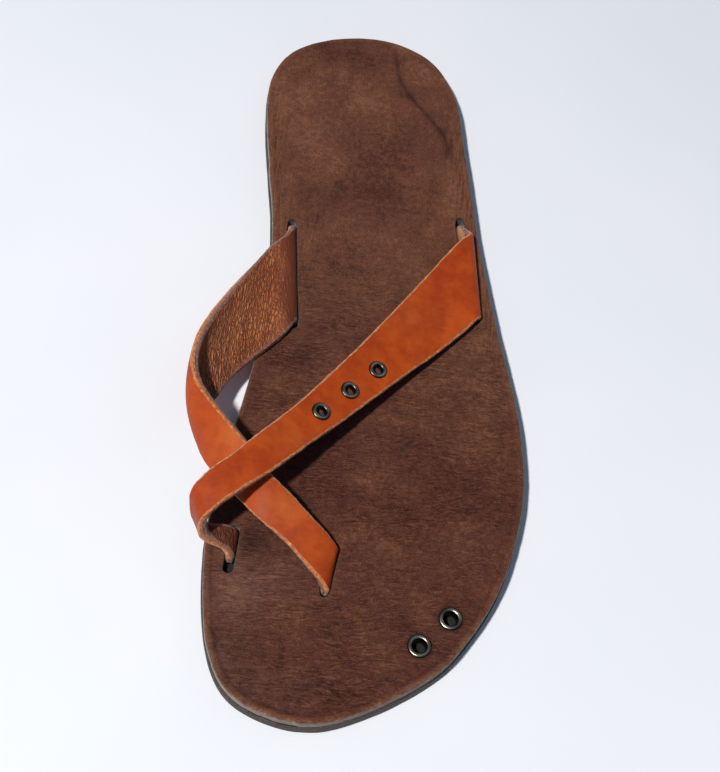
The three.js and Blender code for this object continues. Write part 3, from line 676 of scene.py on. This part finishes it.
# ------------------------------------------------------------------ footbed
PATCHES = [                # x, y, half sizes, turn in degrees, tone: light is positive
    (-17.5, 112.0, 13, 8, 10, 0.55), (0.5, 103.0, 7, 16, -38, 0.60), (-24.0, 91.0, 5, 12, 5, 0.60),
    (18.0, 128.0, 8, 9, 20, 0.40), (24.0, 112.0, 6, 9, 30, 0.35), (-9.0, 126.0, 14, 5, 5, -0.50),
    (9.0, 88.0, 10, 14, 0, -0.30), (-12.0, 84.0, 8, 14, 0, 0.20), (-22.0, 63.0, 6, 12, 10, -0.50),
    (4.0, 66.0, 14, 16, 0, -0.35), (31.0, 70.0, 6, 16, 8, 0.45), (-26.0, 50.0, 5, 16, 4, 0.40),
    (-6.0, 45.0, 12, 8, 10, 0.18), (2.0, 30.0, 14, 12, 0, -0.35), (20.0, 34.0, 12, 14, -20, 0.20),
    (-16.0, 20.0, 4, 20, 5, -0.30), (6.0, 8.0, 14, 8, 10, 0.12), (42.0, 26.0, 6, 16, 10, 0.25),
    (-22.0, -30.0, 9, 16, 0, 0.55), (-10.0, -16.0, 12, 12, 0, 0.25), (45.0, -20.0, 12, 10, 10, 0.15), (26.0, -42.0, 12, 8, 5, -0.20),
    (12.0, -52.0, 10, 5, 5, 0.20), (44.0, -52.0, 11, 12, 0, -0.30), (3.0, -61.0, 7, 9, 0, -0.50),
    (30.0, -66.0, 16, 10, 5, -0.25), (12.0, -76.0, 12, 7, 5, 0.20), (44.0, -80.0, 12, 9, 10, 0.05),
    (-20.0, -98.0, 13, 9, 0, 0.42), (-27.0, -104.0, 6, 8, 0, 0.25), (14.0, -98.0, 14, 9, 5, -0.22),
    (30.0, -92.0, 10, 8, 0, 0.10), (-25.0, -122.0, 9, 7, 0, -0.60), (-10.0, -116.0, 14, 8, 0, -0.35),
    (6.5, -107.0, 5, 6, 0, -0.45), (8.0, -114.0, 12, 7, 5, -0.20), (22.0, -116.0, 10, 6, 20, 0.10), (-5.0, -127.0, 16, 4, 0, -0.10),
]


def patches(p):
    tone = np.zeros(len(p))
    for x, y, a, b, turn, value in PATCHES:
        c, s = math.cos(math.radians(turn)), math.sin(math.radians(turn))
        dx, dy = p[:, 0] - x, p[:, 1] - y
        u, v = (dx * c + dy * s) / a, (-dx * s + dy * c) / b
        ragged = 1 + 0.45 * fractal(p[:, 0] / 9, p[:, 1] / 9, 5 + int(abs(x) * 3), 3)
        tone += value * np.exp(-(u * u + v * v) * ragged.clip(0.3))
    return tone


foot_loop = outline(FOOTBED_INSET)
hand = 0.10 * noise(np.arange(len(foot_loop)) / 9.0, 3.0, 11) + 0.06 * noise(np.arange(len(foot_loop)) / 2.6, 8.0, 12)
foot_loop = moved_in(foot_loop, hand)
slot_loops = [slot_loop(*s) for s in SLOTS]
eyelet_loops = [np.array([x, y]) + CIRCLE * 2.62 for _, x, y in SOLE_EYELETS]
foot_edge = resample(foot_loop, 0.5)


def footbed_relief(p):
    x, y = p[:, 0], p[:, 1]
    d = near(p, foot_edge)
    h = 0.10 * fractal(x / 26, y / 26, 3, 2) + 0.035 * fractal(x / 6, y / 6, 4, 3)
    for cx, cy, a, b, depth in [(-2, 98, 26, 30, 0.28), (2, -62, 24, 24, 0.22), (34, -58, 22, 24, 0.16), (-16, -108, 13, 15, 0.22), (6, -106, 8, 10, 0.10)]:
        h = h - depth * np.exp(-((x - cx) / a) ** 2 - ((y - cy) / b) ** 2)
    # the groove that runs round a little inside the edge, clearest at the toe
    groove = 0.55 + 0.45 * smooth(20, -100, y)
    line = 2.5 + 0.25 * noise(x / 18, y / 18, 21)
    h = h - 0.16 * groove * np.exp(-((d - line) / 0.42) ** 2) * (0.75 + 0.35 * noise(x / 7, y / 7, 22))
    h = h + 0.06 * np.exp(-((d - 1.5) / 0.7) ** 2)
    for line, half, depth in CREASES:
        r, t = to_line(p, line)
        fade = smooth(0.0, 0.12, t) * smooth(1.0, 0.88, t)
        wide = half * (0.8 + 0.3 * noise(x / 5, y / 5, 31))
        h = h - depth * fade * np.exp(-(r / wide) ** 2)
    # lips raised where the straps pull at their slots
    for k, (row, *_) in enumerate(SLOTS):
        a, b = np.array(row[0:2]), np.array(row[3:5])
        n = np.array([-(b - a)[1], (b - a)[0]]) / np.linalg.norm(b - a)
        side = (p - (a + b) / 2) @ n
        r, t = to_line(p, [a, b])
        away = (1, -1, 1, -1)[k]
        pebble_and_painted_light = smooth(0.0, 0.25, t) * smooth(1.0, 0.6, t)
        h = h + (0.34 if k == 2 else 0.16) * np.exp(-((r - 1.8) / 0.9) ** 2) * (side * away > 0) * pebble_and_painted_light
        h = h - 0.10 * np.exp(-((r - 2.2) / 1.6) ** 2)
    return h, d


def footbed_place(p, depth):
    relief, _ = footbed_relief(p)
    fade = np.clip(1 - depth / 3.0, 0, 1)
    z = FOOTBED_TOP + lift(p[:, 1]) + relief * fade - depth
    return np.stack([p[:, 0], p[:, 1], z], 1)


def footbed_values(p, space):
    relief, d = footbed_relief(p)
    x, y = p[:, 0], p[:, 1]
    top = np.clip(1 - (FOOTBED_TOP + lift(y) + 0.3 - space[:, 2]) / 1.4, 0, 1)
    tone = patches(p) + 0.10 * smooth(40, 110, y) - 0.05 * smooth(-20, -110, y)
    wrinkle = smooth(44, 2, y + 5 * noise(x / 16, y / 16, 41)) * (0.72 + 0.28 * fractal(x / 14, y / 10, 42, 2))
    wrinkle = wrinkle * (0.6 + 0.4 * smooth(2.0, 5.0, d))
    fibre = np.exp(-(d / 7.0) ** 2) * smooth(-20, 20, y) * smooth(120, 90, y)
    fibre = fibre + 0.5 * np.exp(-((x + 17) / 4) ** 2) * smooth(0, 14, y) * smooth(60, 36, y)
    at_toe = smooth(-60, -112, y)
    rim = np.exp(-((d - 0.45) / 0.55) ** 2) * (0.45 + 0.55 * at_toe) * (0.6 + 0.5 * noise(x / 2.5, y / 2.5, 43))
    rim = rim + 0.22 * np.exp(-((d - 1.4) / 0.6) ** 2) * (0.4 + 0.6 * at_toe)
    stain = 0.8 * np.exp(-((x + 22.2) / 4.6) ** 2 - ((y + 80.8) / 5.6) ** 2)
    stain = stain + 0.5 * np.exp(-((d - 2.5) / 0.5) ** 2) * (0.35 + 0.5 * at_toe)
    for cx, cy, a, b, v in [(22, 102.5, 3.2, 2.4, 0.9), (27.5, 96, 2.0, 3.6, 0.8), (30.4, 86.5, 1.5, 5.5, 0.85), (9.6, 118.5, 1.6, 5.0, 0.55), (14.8, 110.5, 2.6, 2.2, 0.6), (9, 129, 1.8, 3.0, 0.35), (-28, -113.5, 2.2, 3.6, 0.5)]:
        stain = stain + v * np.exp(-((x - cx) / a) ** 2 - ((y - cy) / b) ** 2) * (0.75 + 0.5 * noise(x / 2.5, y / 2.5, 44))
    # Where the footbed is lightened as painted sheen, a reflection of the light.
    wax = np.zeros(len(p))
    for cx, cy, a, b, v in [(-24, -99, 10, 12, 0.7), (-12, -92, 14, 10, 0.35), (-26, -120, 7, 8, 0.5), (-12, -128, 12, 5, 0.35), (-30, -70, 5, 18, 0.2)]:
        wax = wax + v * np.exp(-((x - cx) / a) ** 2 - ((y - cy) / b) ** 2)
    crease = np.zeros(len(p))
    for k, (line, half, depth) in enumerate(CREASES):
        if depth > 0:
            r, t = to_line(p, line)
            fade = smooth(0.0, 0.1, t) * smooth(1.0, 0.9, t)
            strong = (0.75, 0, 0.35, 0.8)[k] if k < 4 else 0.22
            ragged = (0.75 + 0.55 * noise(x / 1.7, y / 1.7, 45)).clip(0.25)
            crease = np.maximum(crease, strong * fade * np.exp(-(r / (half * ragged)) ** 2))
    # Painted shade: a dark ring along each slot's edge stands for the shade in the gap where the strap goes down; a
    # lighter rim lies just outside it.
    for row, *_ in SLOTS:
        r, _ = to_line(p, [row[0:2], row[3:5]])
        stain = stain + 0.45 * np.exp(-((r - 1.5) / 0.5) ** 2)
        rim = rim + 0.25 * np.exp(-((r - 2.1) / 0.5) ** 2)
    # Painted shade: a dark ring round each sole eyelet stands for the shade in the dimple round its flange.
    for _, ex, ey in SOLE_EYELETS:
        r = np.hypot(x - ex, y - ey)
        stain = stain + 0.7 * np.exp(-((r - 3.9) / 0.5) ** 2)
    return {
        "heel": smooth(-55, 20, y), "wax": wax.clip(0, 1) * top, "tone": tone * top, "wrinkle": wrinkle.clip(0, 1) * top, "fibre": fibre.clip(0, 1), "rim": rim.clip(0, 1),
        "stain": stain.clip(0, 1), "crease": crease.clip(0, 1),
    }


def inner_points(loops, insets, spacing, lines=(), clear=0.62):
    """Even points inside the outline, denser along the edge and along the lines."""
    base = loops[0]
    fine = [resample(moved_in(base, i), 1.1) for i in insets]
    for line in lines:
        q = resample(line, 0.9, closed=False)
        t = np.gradient(q, axis=0)
        t /= np.linalg.norm(t, axis=1)[:, None]
        n = np.stack([-t[:, 1], t[:, 0]], 1)
        fine += [q + n * o for o in (-1.5, -0.9, -0.45, 0, 0.45, 0.9, 1.5)]
    for loop in loops[1:]:
        fine += [resample(moved_in(loop, i), 0.9) for i in (0.95, 1.5, 2.2)]
    picked = np.vstack(fine)
    order, kept, seen = np.arange(len(picked)), [], {}
    for i in order:
        key = tuple(np.floor(picked[i] / 0.42).astype(int))
        if key not in seen:
            seen[key] = i
            kept.append(i)
    picked = picked[kept]
    lo2, hi2 = base.min(0), base.max(0)
    ys = np.arange(lo2[1], hi2[1], spacing * 0.866)
    rows = [np.stack([np.arange(lo2[0] + (k % 2) * spacing / 2, hi2[0], spacing), np.full(len(np.arange(lo2[0] + (k % 2) * spacing / 2, hi2[0], spacing)), y)], 1) for k, y in enumerate(ys)]
    even = np.vstack(rows)
    even = even[inside(even, base)]
    even = even[near(even, picked) > spacing * 0.62]
    pts = np.vstack([picked, even])
    good = inside(pts, base) & (near(pts, base) > clear)
    for loop in loops[1:]:
        good &= ~inside(pts, loop) & (near(pts, loop) > clear)
    return pts[good]


foot_profile = [(0.95, 0.0), (0.60, 0.04), (0.33, 0.13), (0.14, 0.32), (0.03, 0.7), (0.0, 1.3), (0.02, 2.2), (-0.02, 3.2), (0.06, 3.9), (0.3, 4.2)]
hole_profile = [(0.55, 0.0), (0.38, 0.03), (0.22, 0.12), (0.10, 0.28), (0.02, 0.55), (0.0, 1.0), (0.0, 2.0), (0.0, 3.0), (0.0, 3.9), (0.0, 4.2)]
holes = slot_loops + eyelet_loops
foot_points = inner_points([foot_loop] + holes, (1.55, 1.95, 2.25, 2.5, 2.75, 3.1, 3.6), 1.15, [c[0] for c in CREASES])
foot_points = foot_points[near(foot_points, moved_in(foot_loop, 1.15)) > 0.3]
footbed = plate("footbed_leather", [foot_loop] + holes, [foot_profile] + [hole_profile] * len(holes), foot_points,
                footbed_place, [M_TOP, M_SIDE, M_HOLE], [(2, 1)] + [(2, 2)] * len(holes), footbed_values)


# ------------------------------------------------------------------ outsole
sole_loop = outline()
hand = 0.08 * noise(np.arange(len(sole_loop)) / 12.0, 5.0, 51) + 0.05 * noise(np.arange(len(sole_loop)) / 3.0, 5.0, 52)
sole_loop = moved_in(sole_loop, hand + 0.05)


def outsole_place(p, depth):
    z = OUTSOLE_TOP - depth + lift(p[:, 1])
    return np.stack([p[:, 0], p[:, 1], z], 1)


sole_profile = [(1.6, 0.0), (0.5, 0.0), (0.28, 0.06), (0.1, 0.2), (0.0, 0.5), (-0.03, 1.2), (0.03, 2.2), (-0.02, 3.2), (0.05, 4.0), (0.2, 4.35), (0.5, 4.5)]
sole_points = inner_points([sole_loop], (2.6,), 6.0)
sole_points = sole_points[near(sole_points, moved_in(sole_loop, 1.6)) > 0.5]
outsole = plate("outsole_rubber", [sole_loop], [sole_profile], sole_points, outsole_place, [M_RUBBER_TOP, M_RUBBER], [(1, 1)])


# ------------------------------------------------------------------ straps
def curve(points, u):
    """Centripetal spline through the points, u counted in points."""
    p = np.asarray(points, float)
    out = []
    for value in u:
        i = min(int(value), len(p) - 2)
        w = value - i
        p0 = p[i - 1] if i > 0 else 2 * p[0] - p[1]
        p1, p2 = p[i], p[i + 1]
        p3 = p[i + 2] if i + 2 < len(p) else 2 * p[-1] - p[-2]
        d0, d1, d2 = (np.linalg.norm(b - a) ** 0.5 for a, b in ((p0, p1), (p1, p2), (p2, p3)))
        t1 = ((p1 - p0) / d0 - (p2 - p0) / (d0 + d1) + (p2 - p1) / d1) * d1
        t2 = ((p2 - p1) / d1 - (p3 - p1) / (d1 + d2) + (p3 - p2) / d2) * d1
        out.append(p1 + t1 * w + (-3 * p1 + 3 * p2 - 2 * t1 - t2) * w ** 2 + (2 * p1 - 2 * p2 + t1 + t2) * w ** 3)
    return np.array(out)


def eased(line, reach):
    """Evens out small kinks along a line of points, keeping its ends."""
    d = np.r_[0, np.cumsum(np.linalg.norm(np.diff(line, axis=0), axis=1))]
    w = np.exp(-((d[:, None] - d[None, :]) / reach) ** 2)
    out = (w @ line) / w.sum(1)[:, None]
    hold = (smooth(0, 3 * reach, d) * smooth(0, 3 * reach, d[-1] - d))[:, None]
    return line * (1 - hold) + out * hold


class Strap:
    STEP = 12

    def __init__(self, rows, face_sign):
        rows = np.array(rows)
        r, f = rows[:, :3].copy(), rows[:, 3:].copy()
        for q in (r, f):
            for i in (0, -1):
                q[i, 2] += lift(q[i, 1])
        down = np.array([0, 0, -3.0])
        n = len(rows)
        u = 1 + np.arange((n - 1) * self.STEP + 1) / self.STEP
        self.rear = eased(curve([r[0] + down, *r, r[-1] + down], u), 1.6)
        self.front = eased(curve([f[0] + down, *f, f[-1] + down], u), 1.6)
        sink = np.array([4.2, 3.0, 1.8, 0.8])
        ends = []
        for q in (self.rear, self.front):
            head = q[0] - np.stack([0 * sink, 0 * sink, sink], 1)
            tail = q[-1] - np.stack([0 * sink, 0 * sink, sink[::-1]], 1)
            ends.append(np.vstack([head, q, tail]))
        self.r, self.f = ends
        self.lead = len(sink)
        self.bow = None
        self.sign = face_sign
        mid = (self.r + self.f) / 2
        self.s = np.r_[0, np.cumsum(np.linalg.norm(np.diff(mid, axis=0), axis=1))]
        run_r, run_f = np.gradient(self.r, axis=0), np.gradient(self.f, axis=0)
        run_r /= np.linalg.norm(run_r, axis=1)[:, None]
        run_f /= np.linalg.norm(run_f, axis=1)[:, None]
        across = self.f - self.r
        self.length = np.linalg.norm(across, axis=1)
        unit = across / self.length[:, None]
        sin = (np.linalg.norm(np.cross(run_r, unit), axis=1) + np.linalg.norm(np.cross(run_f, unit), axis=1)) / 2
        self.width = self.length * sin

    def surface(self, u):
        """Points and face-side normals at shares of the way from the rear to the front edge."""
        p = self.r[:, None, :] * (1 - u[..., None]) + self.f[:, None, :] * u[..., None]
        if self.bow is not None:
            n = self.straight(u)
            p = p + n * (self.bow[:, None] * 4 * u * (1 - u))[..., None]
            du = np.gradient(p, axis=1) if u.shape[1] > 2 else (self.f - self.r)[:, None, :] * np.ones_like(p)
            m = np.cross(np.gradient(p, axis=0), du)
            size = np.linalg.norm(m, axis=2)[..., None]
            m *= self.sign / np.maximum(size, 1e-9)
            return p, np.where((self.bow > 0.02)[:, None, None], m, n)
        return p, self.straight(u)

    def straight(self, u):
        du = (self.f - self.r)[:, None, :]
        dr, df = np.gradient(self.r, axis=0), np.gradient(self.f, axis=0)
        ds = dr[:, None, :] * (1 - u[..., None]) + df[:, None, :] * u[..., None]
        n = np.cross(ds, np.broadcast_to(du, ds.shape))
        return n * self.sign / np.linalg.norm(n, axis=2)[..., None]

    def at(self, along, across):
        """Point on the face and its normal at a row number and a share of the width."""
        i = self.lead + along * self.STEP
        k = int(i)
        w = i - k
        p, n = self.surface(np.full((len(self.s), 1), across))
        return p[k, 0] * (1 - w) + p[k + 1, 0] * w + n[k, 0] * STRAP_HALF, n[k, 0]


RIM = np.array([0.0, 0.13, 0.30, 0.50, 0.78, 1.15, 1.6])
BEVEL = {"face": (3, 0.42), "lining": (4, 0.46)}      # columns of raw leather, depth in mm


def strap_layer(name, strap, top, bottom, mats, seed, values, face, splay=None, holes=()):
    """One layer of a strap: a closed band between two heights over the middle layer. Its outer
    corners are pared down to raw leather; mats are outer side, cut edge and inner side."""
    m = len(strap.s)
    raw, depth = BEVEL["face" if face else "lining"]
    wide_r = 1 + 0.30 * noise(strap.s / 1.5, seed + 0.0, seed + 20) + 0.15 * noise(strap.s / 0.5, seed + 0.0, seed + 21)
    wide_f = 1 + 0.30 * noise(strap.s / 1.6, seed + 4.0, seed + 22) + 0.15 * noise(strap.s / 0.5, seed + 4.0, seed + 23)
    rim_r = RIM[None, :] * np.where(np.arange(len(RIM)) <= raw, wide_r[:, None], 1.0)
    rim_f = RIM[None, :] * np.where(np.arange(len(RIM)) <= raw, wide_f[:, None], 1.0)
    width = strap.width[:, None]
    a, b = rim_r / width, 1 - rim_f / width
    t = np.linspace(0, 1, 20)[1:-1]
    u = np.concatenate([a, a[:, -1:] * (1 - t) + b[:, -1:] * t, b[:, ::-1]], 1)
    k = u.shape[1]
    p, n = strap.surface(u)
    span = (strap.f - strap.r)[:, None, :]
    flat = np.r_[RIM, np.full(k - 2 * len(RIM), 9.0), RIM[::-1]][None, :]
    away = np.minimum(u, 1 - u) * width
    s = strap.s[:, None]
    v = u * width
    spread = splay(s, u) if splay else np.ones_like(u)
    wall_r = 0.10 * noise(strap.s / 1.7, seed + 0.0, seed) + 0.08 * noise(strap.s / 0.5, seed + 0.0, seed + 1)
    wall_f = 0.10 * noise(strap.s / 1.9, seed + 5.0, seed + 2) + 0.08 * noise(strap.s / 0.5, seed + 5.0, seed + 3)
    e = span[:, 0, :] / strap.length[:, None]
    wave = 0.05 * fractal(s / 9, v / 9, seed + 7, 2)
    pared = depth * np.clip(1 - flat / RIM[raw], 0, 1) ** 1.15 * (1 + 0.25 * noise(s / 0.9, v / 0.9, seed + 8))
    upper = p + n * ((top - (pared if face else 0)) * spread + wave)[..., None]
    lower = p + n * ((bottom + (0 if face else pared)) * spread + wave)[..., None]
    ring = [upper[:, j] for j in range(k)]
    ring_u = [v[:, j] for j in range(k)]
    levels = (0.14, 0.38, 0.62, 0.86)
    for q in levels:
        side = upper[:, -1] * (1 - q) + lower[:, -1] * q
        bulge = 0.16 * math.sin(math.pi * q) ** 0.6 + wall_f + 0.10 * noise(strap.s / 0.7, q * 5.0, seed + 9)
        ring.append(side + e * bulge[:, None])
        ring_u.append(v[:, -1] + q)
    ring += [lower[:, j] for j in range(k - 1, -1, -1)]
    ring_u += [v[:, j] for j in range(k - 1, -1, -1)]
    for q in levels[::-1]:
        side = upper[:, 0] * (1 - q) + lower[:, 0] * q
        bulge = 0.16 * math.sin(math.pi * q) ** 0.6 + wall_r + 0.10 * noise(strap.s / 0.7, q * 5.0, seed + 10)
        ring.append(side - e * bulge[:, None])
        ring_u.append(v[:, 0] - q)
    ring = np.stack(ring, 1)
    w, gap = ring.shape[1], len(levels)
    outer = [1 if j < raw or j >= k - 1 - raw else 0 for j in range(k - 1)]
    inner = [2] * (k - 1)
    if not face:
        outer, inner = [0] * (k - 1), [1 if j < raw or j >= k - 1 - raw else 2 for j in range(k - 1)]
    kind = outer + [1] * (gap + 1) + inner + [1] * (gap + 1)
    uv = np.stack([np.broadcast_to(s, (m, w)), np.stack(ring_u, 1)], 2) / 100
    where = np.concatenate([u, np.ones((m, gap)), u[:, ::-1], np.zeros((m, gap))], 1)
    off = np.concatenate([away, np.zeros((m, gap)), away[:, ::-1], np.zeros((m, gap))], 1)
    att = values(np.broadcast_to(s, (m, w)).ravel(), where.ravel(), off.ravel(), ring.reshape(-1, 3))
    faces, mat = [], []
    for i in range(m - 1):
        for j in range(w):
            c, d = i * w + j, i * w + (j + 1) % w
            quad = (c, d, d + w, c + w)
            faces.append(quad if strap.sign < 0 else quad[::-1])
            mat.append(kind[j])
    first, last = list(range(w)), [(m - 1) * w + j for j in range(w)]
    faces += [first[::-1] if strap.sign < 0 else first, last if strap.sign < 0 else last[::-1]]
    mat += [1, 1]
    obj = new_object(name, metres(ring.reshape(-1, 3)), faces, mats, mat, uv.reshape(-1, 2), att)
    for point, normal, radius in holes:
        cut(obj, point, normal, radius)
    return obj


def cut(obj, point, normal, radius, depth=3.0):
    """A round hole through a piece, punched along the normal."""
    z = Vector(normal)
    turn = z.to_track_quat("Z", "Y").to_matrix()
    ang = np.linspace(0, 2 * math.pi, 40, endpoint=False)
    verts = [Vector(point) + turn @ Vector((radius * math.cos(a), radius * math.sin(a), h)) for h in (-depth, depth) for a in ang]
    faces = [(i, (i + 1) % 40, 40 + (i + 1) % 40, 40 + i) for i in range(40)]
    faces += [tuple(range(39, -1, -1)), tuple(range(40, 80))]
    tool = new_object("punch", metres([tuple(v) for v in verts]), faces, [])
    m = obj.modifiers.new("hole", "BOOLEAN")
    m.operation, m.solver, m.object = "DIFFERENCE", "EXACT", tool
    bpy.context.view_layer.update()
    made = bpy.data.meshes.new_from_object(obj.evaluated_get(bpy.context.evaluated_depsgraph_get()))
    obj.modifiers.clear()
    old, obj.data = obj.data, made
    bpy.data.meshes.remove(old)
    bpy.data.objects.remove(tool)


over, toe = Strap(STRAP_OVER, 1), Strap(STRAP_TOE, -1)
toe.bow = 2.3 * np.exp(-((np.arange(len(toe.s)) - toe.lead - 6.4 * toe.STEP) / (2.4 * toe.STEP)) ** 2)
eyelet_places = [(name, *over.at(along, across)) for name, along, across in STRAP_EYELETS]


def over_values(s, u, off, pts):
    x, y, z = pts.T
    # Painted highlight: pale patches on the middle of the strap and near the crossing, and a painted highlight along
    # the fold beside the lateral slot.
    soft = 0.35 * np.exp(-((x - 18) / 14) ** 2 - ((y - 6) / 9) ** 2) + 0.3 * np.exp(-((x + 16) / 9) ** 2 - ((y + 52) / 7) ** 2)
    soft = soft + 0.9 * np.exp(-((s - over.s[over.lead] - 1.5) / 0.8) ** 2)
    raw = np.exp(-((s - over.s[over.lead] - 2.0) / 4.0) ** 2 - (u / 0.22) ** 2)
    return {"soft": soft.clip(0, 1), "raw": raw, "pebble": 0.30 + 0.30 * smooth(95, 125, s), "aged": smooth(90, 120, s)}


def toe_values(s, u, off, pts):
    x, y, z = pts.T
    # Painted highlight: pale patches on either side of the crossing, and a painted reflection near the strap's end at
    # the toe slot.
    soft = 0.85 * np.exp(-((x + 30) / 7) ** 2 - ((y + 54) / 6) ** 2) + 0.75 * np.exp(-((x + 14) / 6) ** 2 - ((y + 72) / 5) ** 2)
    soft = soft + 0.35 * np.exp(-((x - 1) / 3.5) ** 2 - ((y + 86) / 4) ** 2)
    pebble = smooth(6, 20, s) * (0.8 + 0.2 * u) * smooth(95, 70, s) + 0.12
    return {"soft": soft.clip(0, 1), "raw": 0 * s, "pebble": pebble, "aged": 0.35 * smooth(14, 2, s - toe.s[toe.lead]) + smooth(90, 110, s)}


def over_splay(s, u):
    """The two layers stand apart a little where the strap is folded under at its inner end."""
    at = over.s[over.lead + 14 * over.STEP]
    return 1 + 0.34 * np.exp(-((s - at) / 8.0) ** 2) * u ** 2


FACE = [M_FACE, M_FACE_CUT, M_INNER]
LINE = [M_INNER, M_LINING_CUT, M_LINING]
over_face = strap_layer("strap_over_face", over, STRAP_HALF, LAYER_SPLIT, FACE, 71, over_values, True, over_splay,
                        [(c, n, 2.0) for _, c, n in eyelet_places])
over_lining = strap_layer("strap_over_lining", over, LAYER_SPLIT - 0.04, -STRAP_HALF, LINE, 81, over_values, False, over_splay)
toe_face = strap_layer("strap_toe_face", toe, STRAP_HALF, LAYER_SPLIT, FACE, 91, toe_values, True)
toe_lining = strap_layer("strap_toe_lining", toe, LAYER_SPLIT - 0.04, -STRAP_HALF, LINE, 101, toe_values, False)


# ------------------------------------------------------------------ eyelets
def eyelet(name, point, normal, section, dent):
    """A turned ring with a rolled flange, from its section of (radius, height) points."""
    z = Vector(normal)
    turn = z.to_track_quat("Z", "Y").to_matrix()
    n = 72
    verts, worn = [], []
    top = max(h for _, h in section)
    for i in range(n):
        a = 2 * math.pi * i / n
        for r, h in section:
            r = r * (1 + 0.006 * math.sin(3 * a + dent))
            verts.append(tuple(Vector(point) + turn @ Vector((r * math.cos(a), r * math.sin(a), h))))
            worn.append(float(smooth(top - 0.22, top, h)) * (0.65 + 0.35 * math.sin(2 * a + dent)))
    m = len(section)
    faces = [(i * m + j, i * m + (j + 1) % m, ((i + 1) % n) * m + (j + 1) % m, ((i + 1) % n) * m + j) for i in range(n) for j in range(m)]
    uv = [(r / 100, h / 100) for _ in range(n) for r, h in section]
    obj = new_object(name, metres(verts), [f[::-1] for f in faces], [M_METAL], None, uv, {"worn": worn})
    return obj


def rolled(bore, barrel, flange, rise, depth):
    mid = (flange + bore) / 2 + 0.05
    half = (flange - bore) / 2
    arc = [(mid + half * math.cos(a), 0.12 + (rise - 0.12) * math.sin(a)) for a in np.linspace(0, math.pi, 15)]
    return arc + [(bore, -0.15), (bore, -depth * 0.5), (bore, -depth), (barrel, -depth), (barrel, -0.2), (barrel, 0.0), (flange - 0.1, 0.02)]


made = {}
for k, (name, point, normal) in enumerate(eyelet_places):
    made[name] = eyelet(name + "_metal", point + normal * 0.02, normal, rolled(1.50, 1.95, 3.15, 0.74, 1.4), k * 1.3)
for k, (name, x, y) in enumerate(SOLE_EYELETS):
    p = footbed_place(np.array([[x, y]]), np.zeros(1))[0]
    made[name] = eyelet(name + "_metal", (x, y, p[2]), (0, 0, 1), rolled(2.15, 2.55, 3.75, 0.72, 3.2), k * 2.1 + 4)

# ------------------------------------------------------------------ each piece under the root, and the CAD part it stands for hidden
for piece, node, slot in [
    (footbed, "footbed", "footbed_leather"), (outsole, "outsole", "outsole_rubber"),
    (over_face, "upper_straps", "strap_leather"), (over_lining, "upper_straps", "strap_leather"),
    (toe_face, "upper_straps", "strap_leather"), (toe_lining, "upper_straps", "strap_leather"),
    *[(obj, name, "eyelet_metal") for name, obj in made.items()],
]:
    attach(piece, "root")
    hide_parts(node)

# ------------------------------------------------------------------ floor, light, camera
floor_mesh = bpy.data.meshes.new("floor")
floor_mesh.from_pydata([(-3, -3, 0), (3, -3, 0), (3, 3, 0), (-3, 3, 0)], [], [(0, 1, 2, 3)])
floor_mesh.materials.append(floor_material())
floor = bpy.data.objects.new("floor", floor_mesh)
bpy.context.scene.collection.objects.link(floor)

centre = Vector(metres([[10.0, 0.0, 8.0]])[0])


def lamp(name, direction, distance, size, power, colour):
    light = bpy.data.lights.new(name, "AREA")
    light.shape = "DISK"
    light.size = size
    light.energy = power
    light.color = colour
    obj = bpy.data.objects.new(name, light)
    d = Vector(direction).normalized()
    obj.location = centre + d * distance
    obj.rotation_mode = "QUATERNION"
    obj.rotation_quaternion = d.to_track_quat("Z", "Y")
    bpy.context.scene.collection.objects.link(obj)


lamp("key", (-0.365, -0.390, 1.0), 1.6, 0.11, 27.0, (1.0, 0.965, 0.91))
lamp("fill", (0.7, 0.5, 1.0), 1.8, 1.4, 1.2, (0.82, 0.9, 1.0))

world = bpy.data.worlds.new("studio")
world.use_nodes = True
background = world.node_tree.nodes["Background"]
background.inputs["Color"].default_value = (0.58, 0.76, 1.0, 1.0)
background.inputs["Strength"].default_value = 0.17
bpy.context.scene.world = world
bpy.context.scene.view_settings.view_transform = "Standard"
bpy.context.scene.view_settings.look = "None"

# The camera stands over the toes, looking down at 60 degrees and a little to the left of the
# sandal's length; it is turned from there to put the one sandal in the middle of the frame.
TILT, TURN, FOCAL = math.radians(30), math.radians(8.75), 1408.2
AIM = (528.0, 404.0)                                 # the sandal's middle in the first view, in pixels
forward = np.array([0.0, math.sin(TILT), -math.cos(TILT)])
up = np.array([0.0, math.cos(TILT), math.sin(TILT)])
right = np.array([1.0, 0.0, 0.0])
stand = -forward * 486.5
to_shoe = np.array([[math.cos(TURN), -math.sin(TURN), 0], [math.sin(TURN), math.cos(TURN), 0], [0, 0, 1]])
view = right * (AIM[0] - 360) / FOCAL - up * (AIM[1] - 386) / FOCAL + forward
view /= np.linalg.norm(view)
pan = Vector(forward).rotation_difference(Vector(view))
axes = Matrix([right, up, -forward]).transposed()
axes = Matrix(to_shoe) @ (pan.to_matrix() @ axes)
position = to_shoe @ stand - np.array([36.0 + 14.6, 13.0 + 3.5, 0])
camera_data = bpy.data.cameras.new("camera")
camera_data.sensor_width = 36.0
camera_data.lens = FOCAL / 772 * 36.0
camera_data.clip_start, camera_data.clip_end = 0.01, 20
camera = bpy.data.objects.new("camera", camera_data)
place = axes.to_4x4()
place.translation = Vector(metres([position])[0])
camera.matrix_world = place
bpy.context.scene.collection.objects.link(camera)
bpy.context.scene.camera = camera
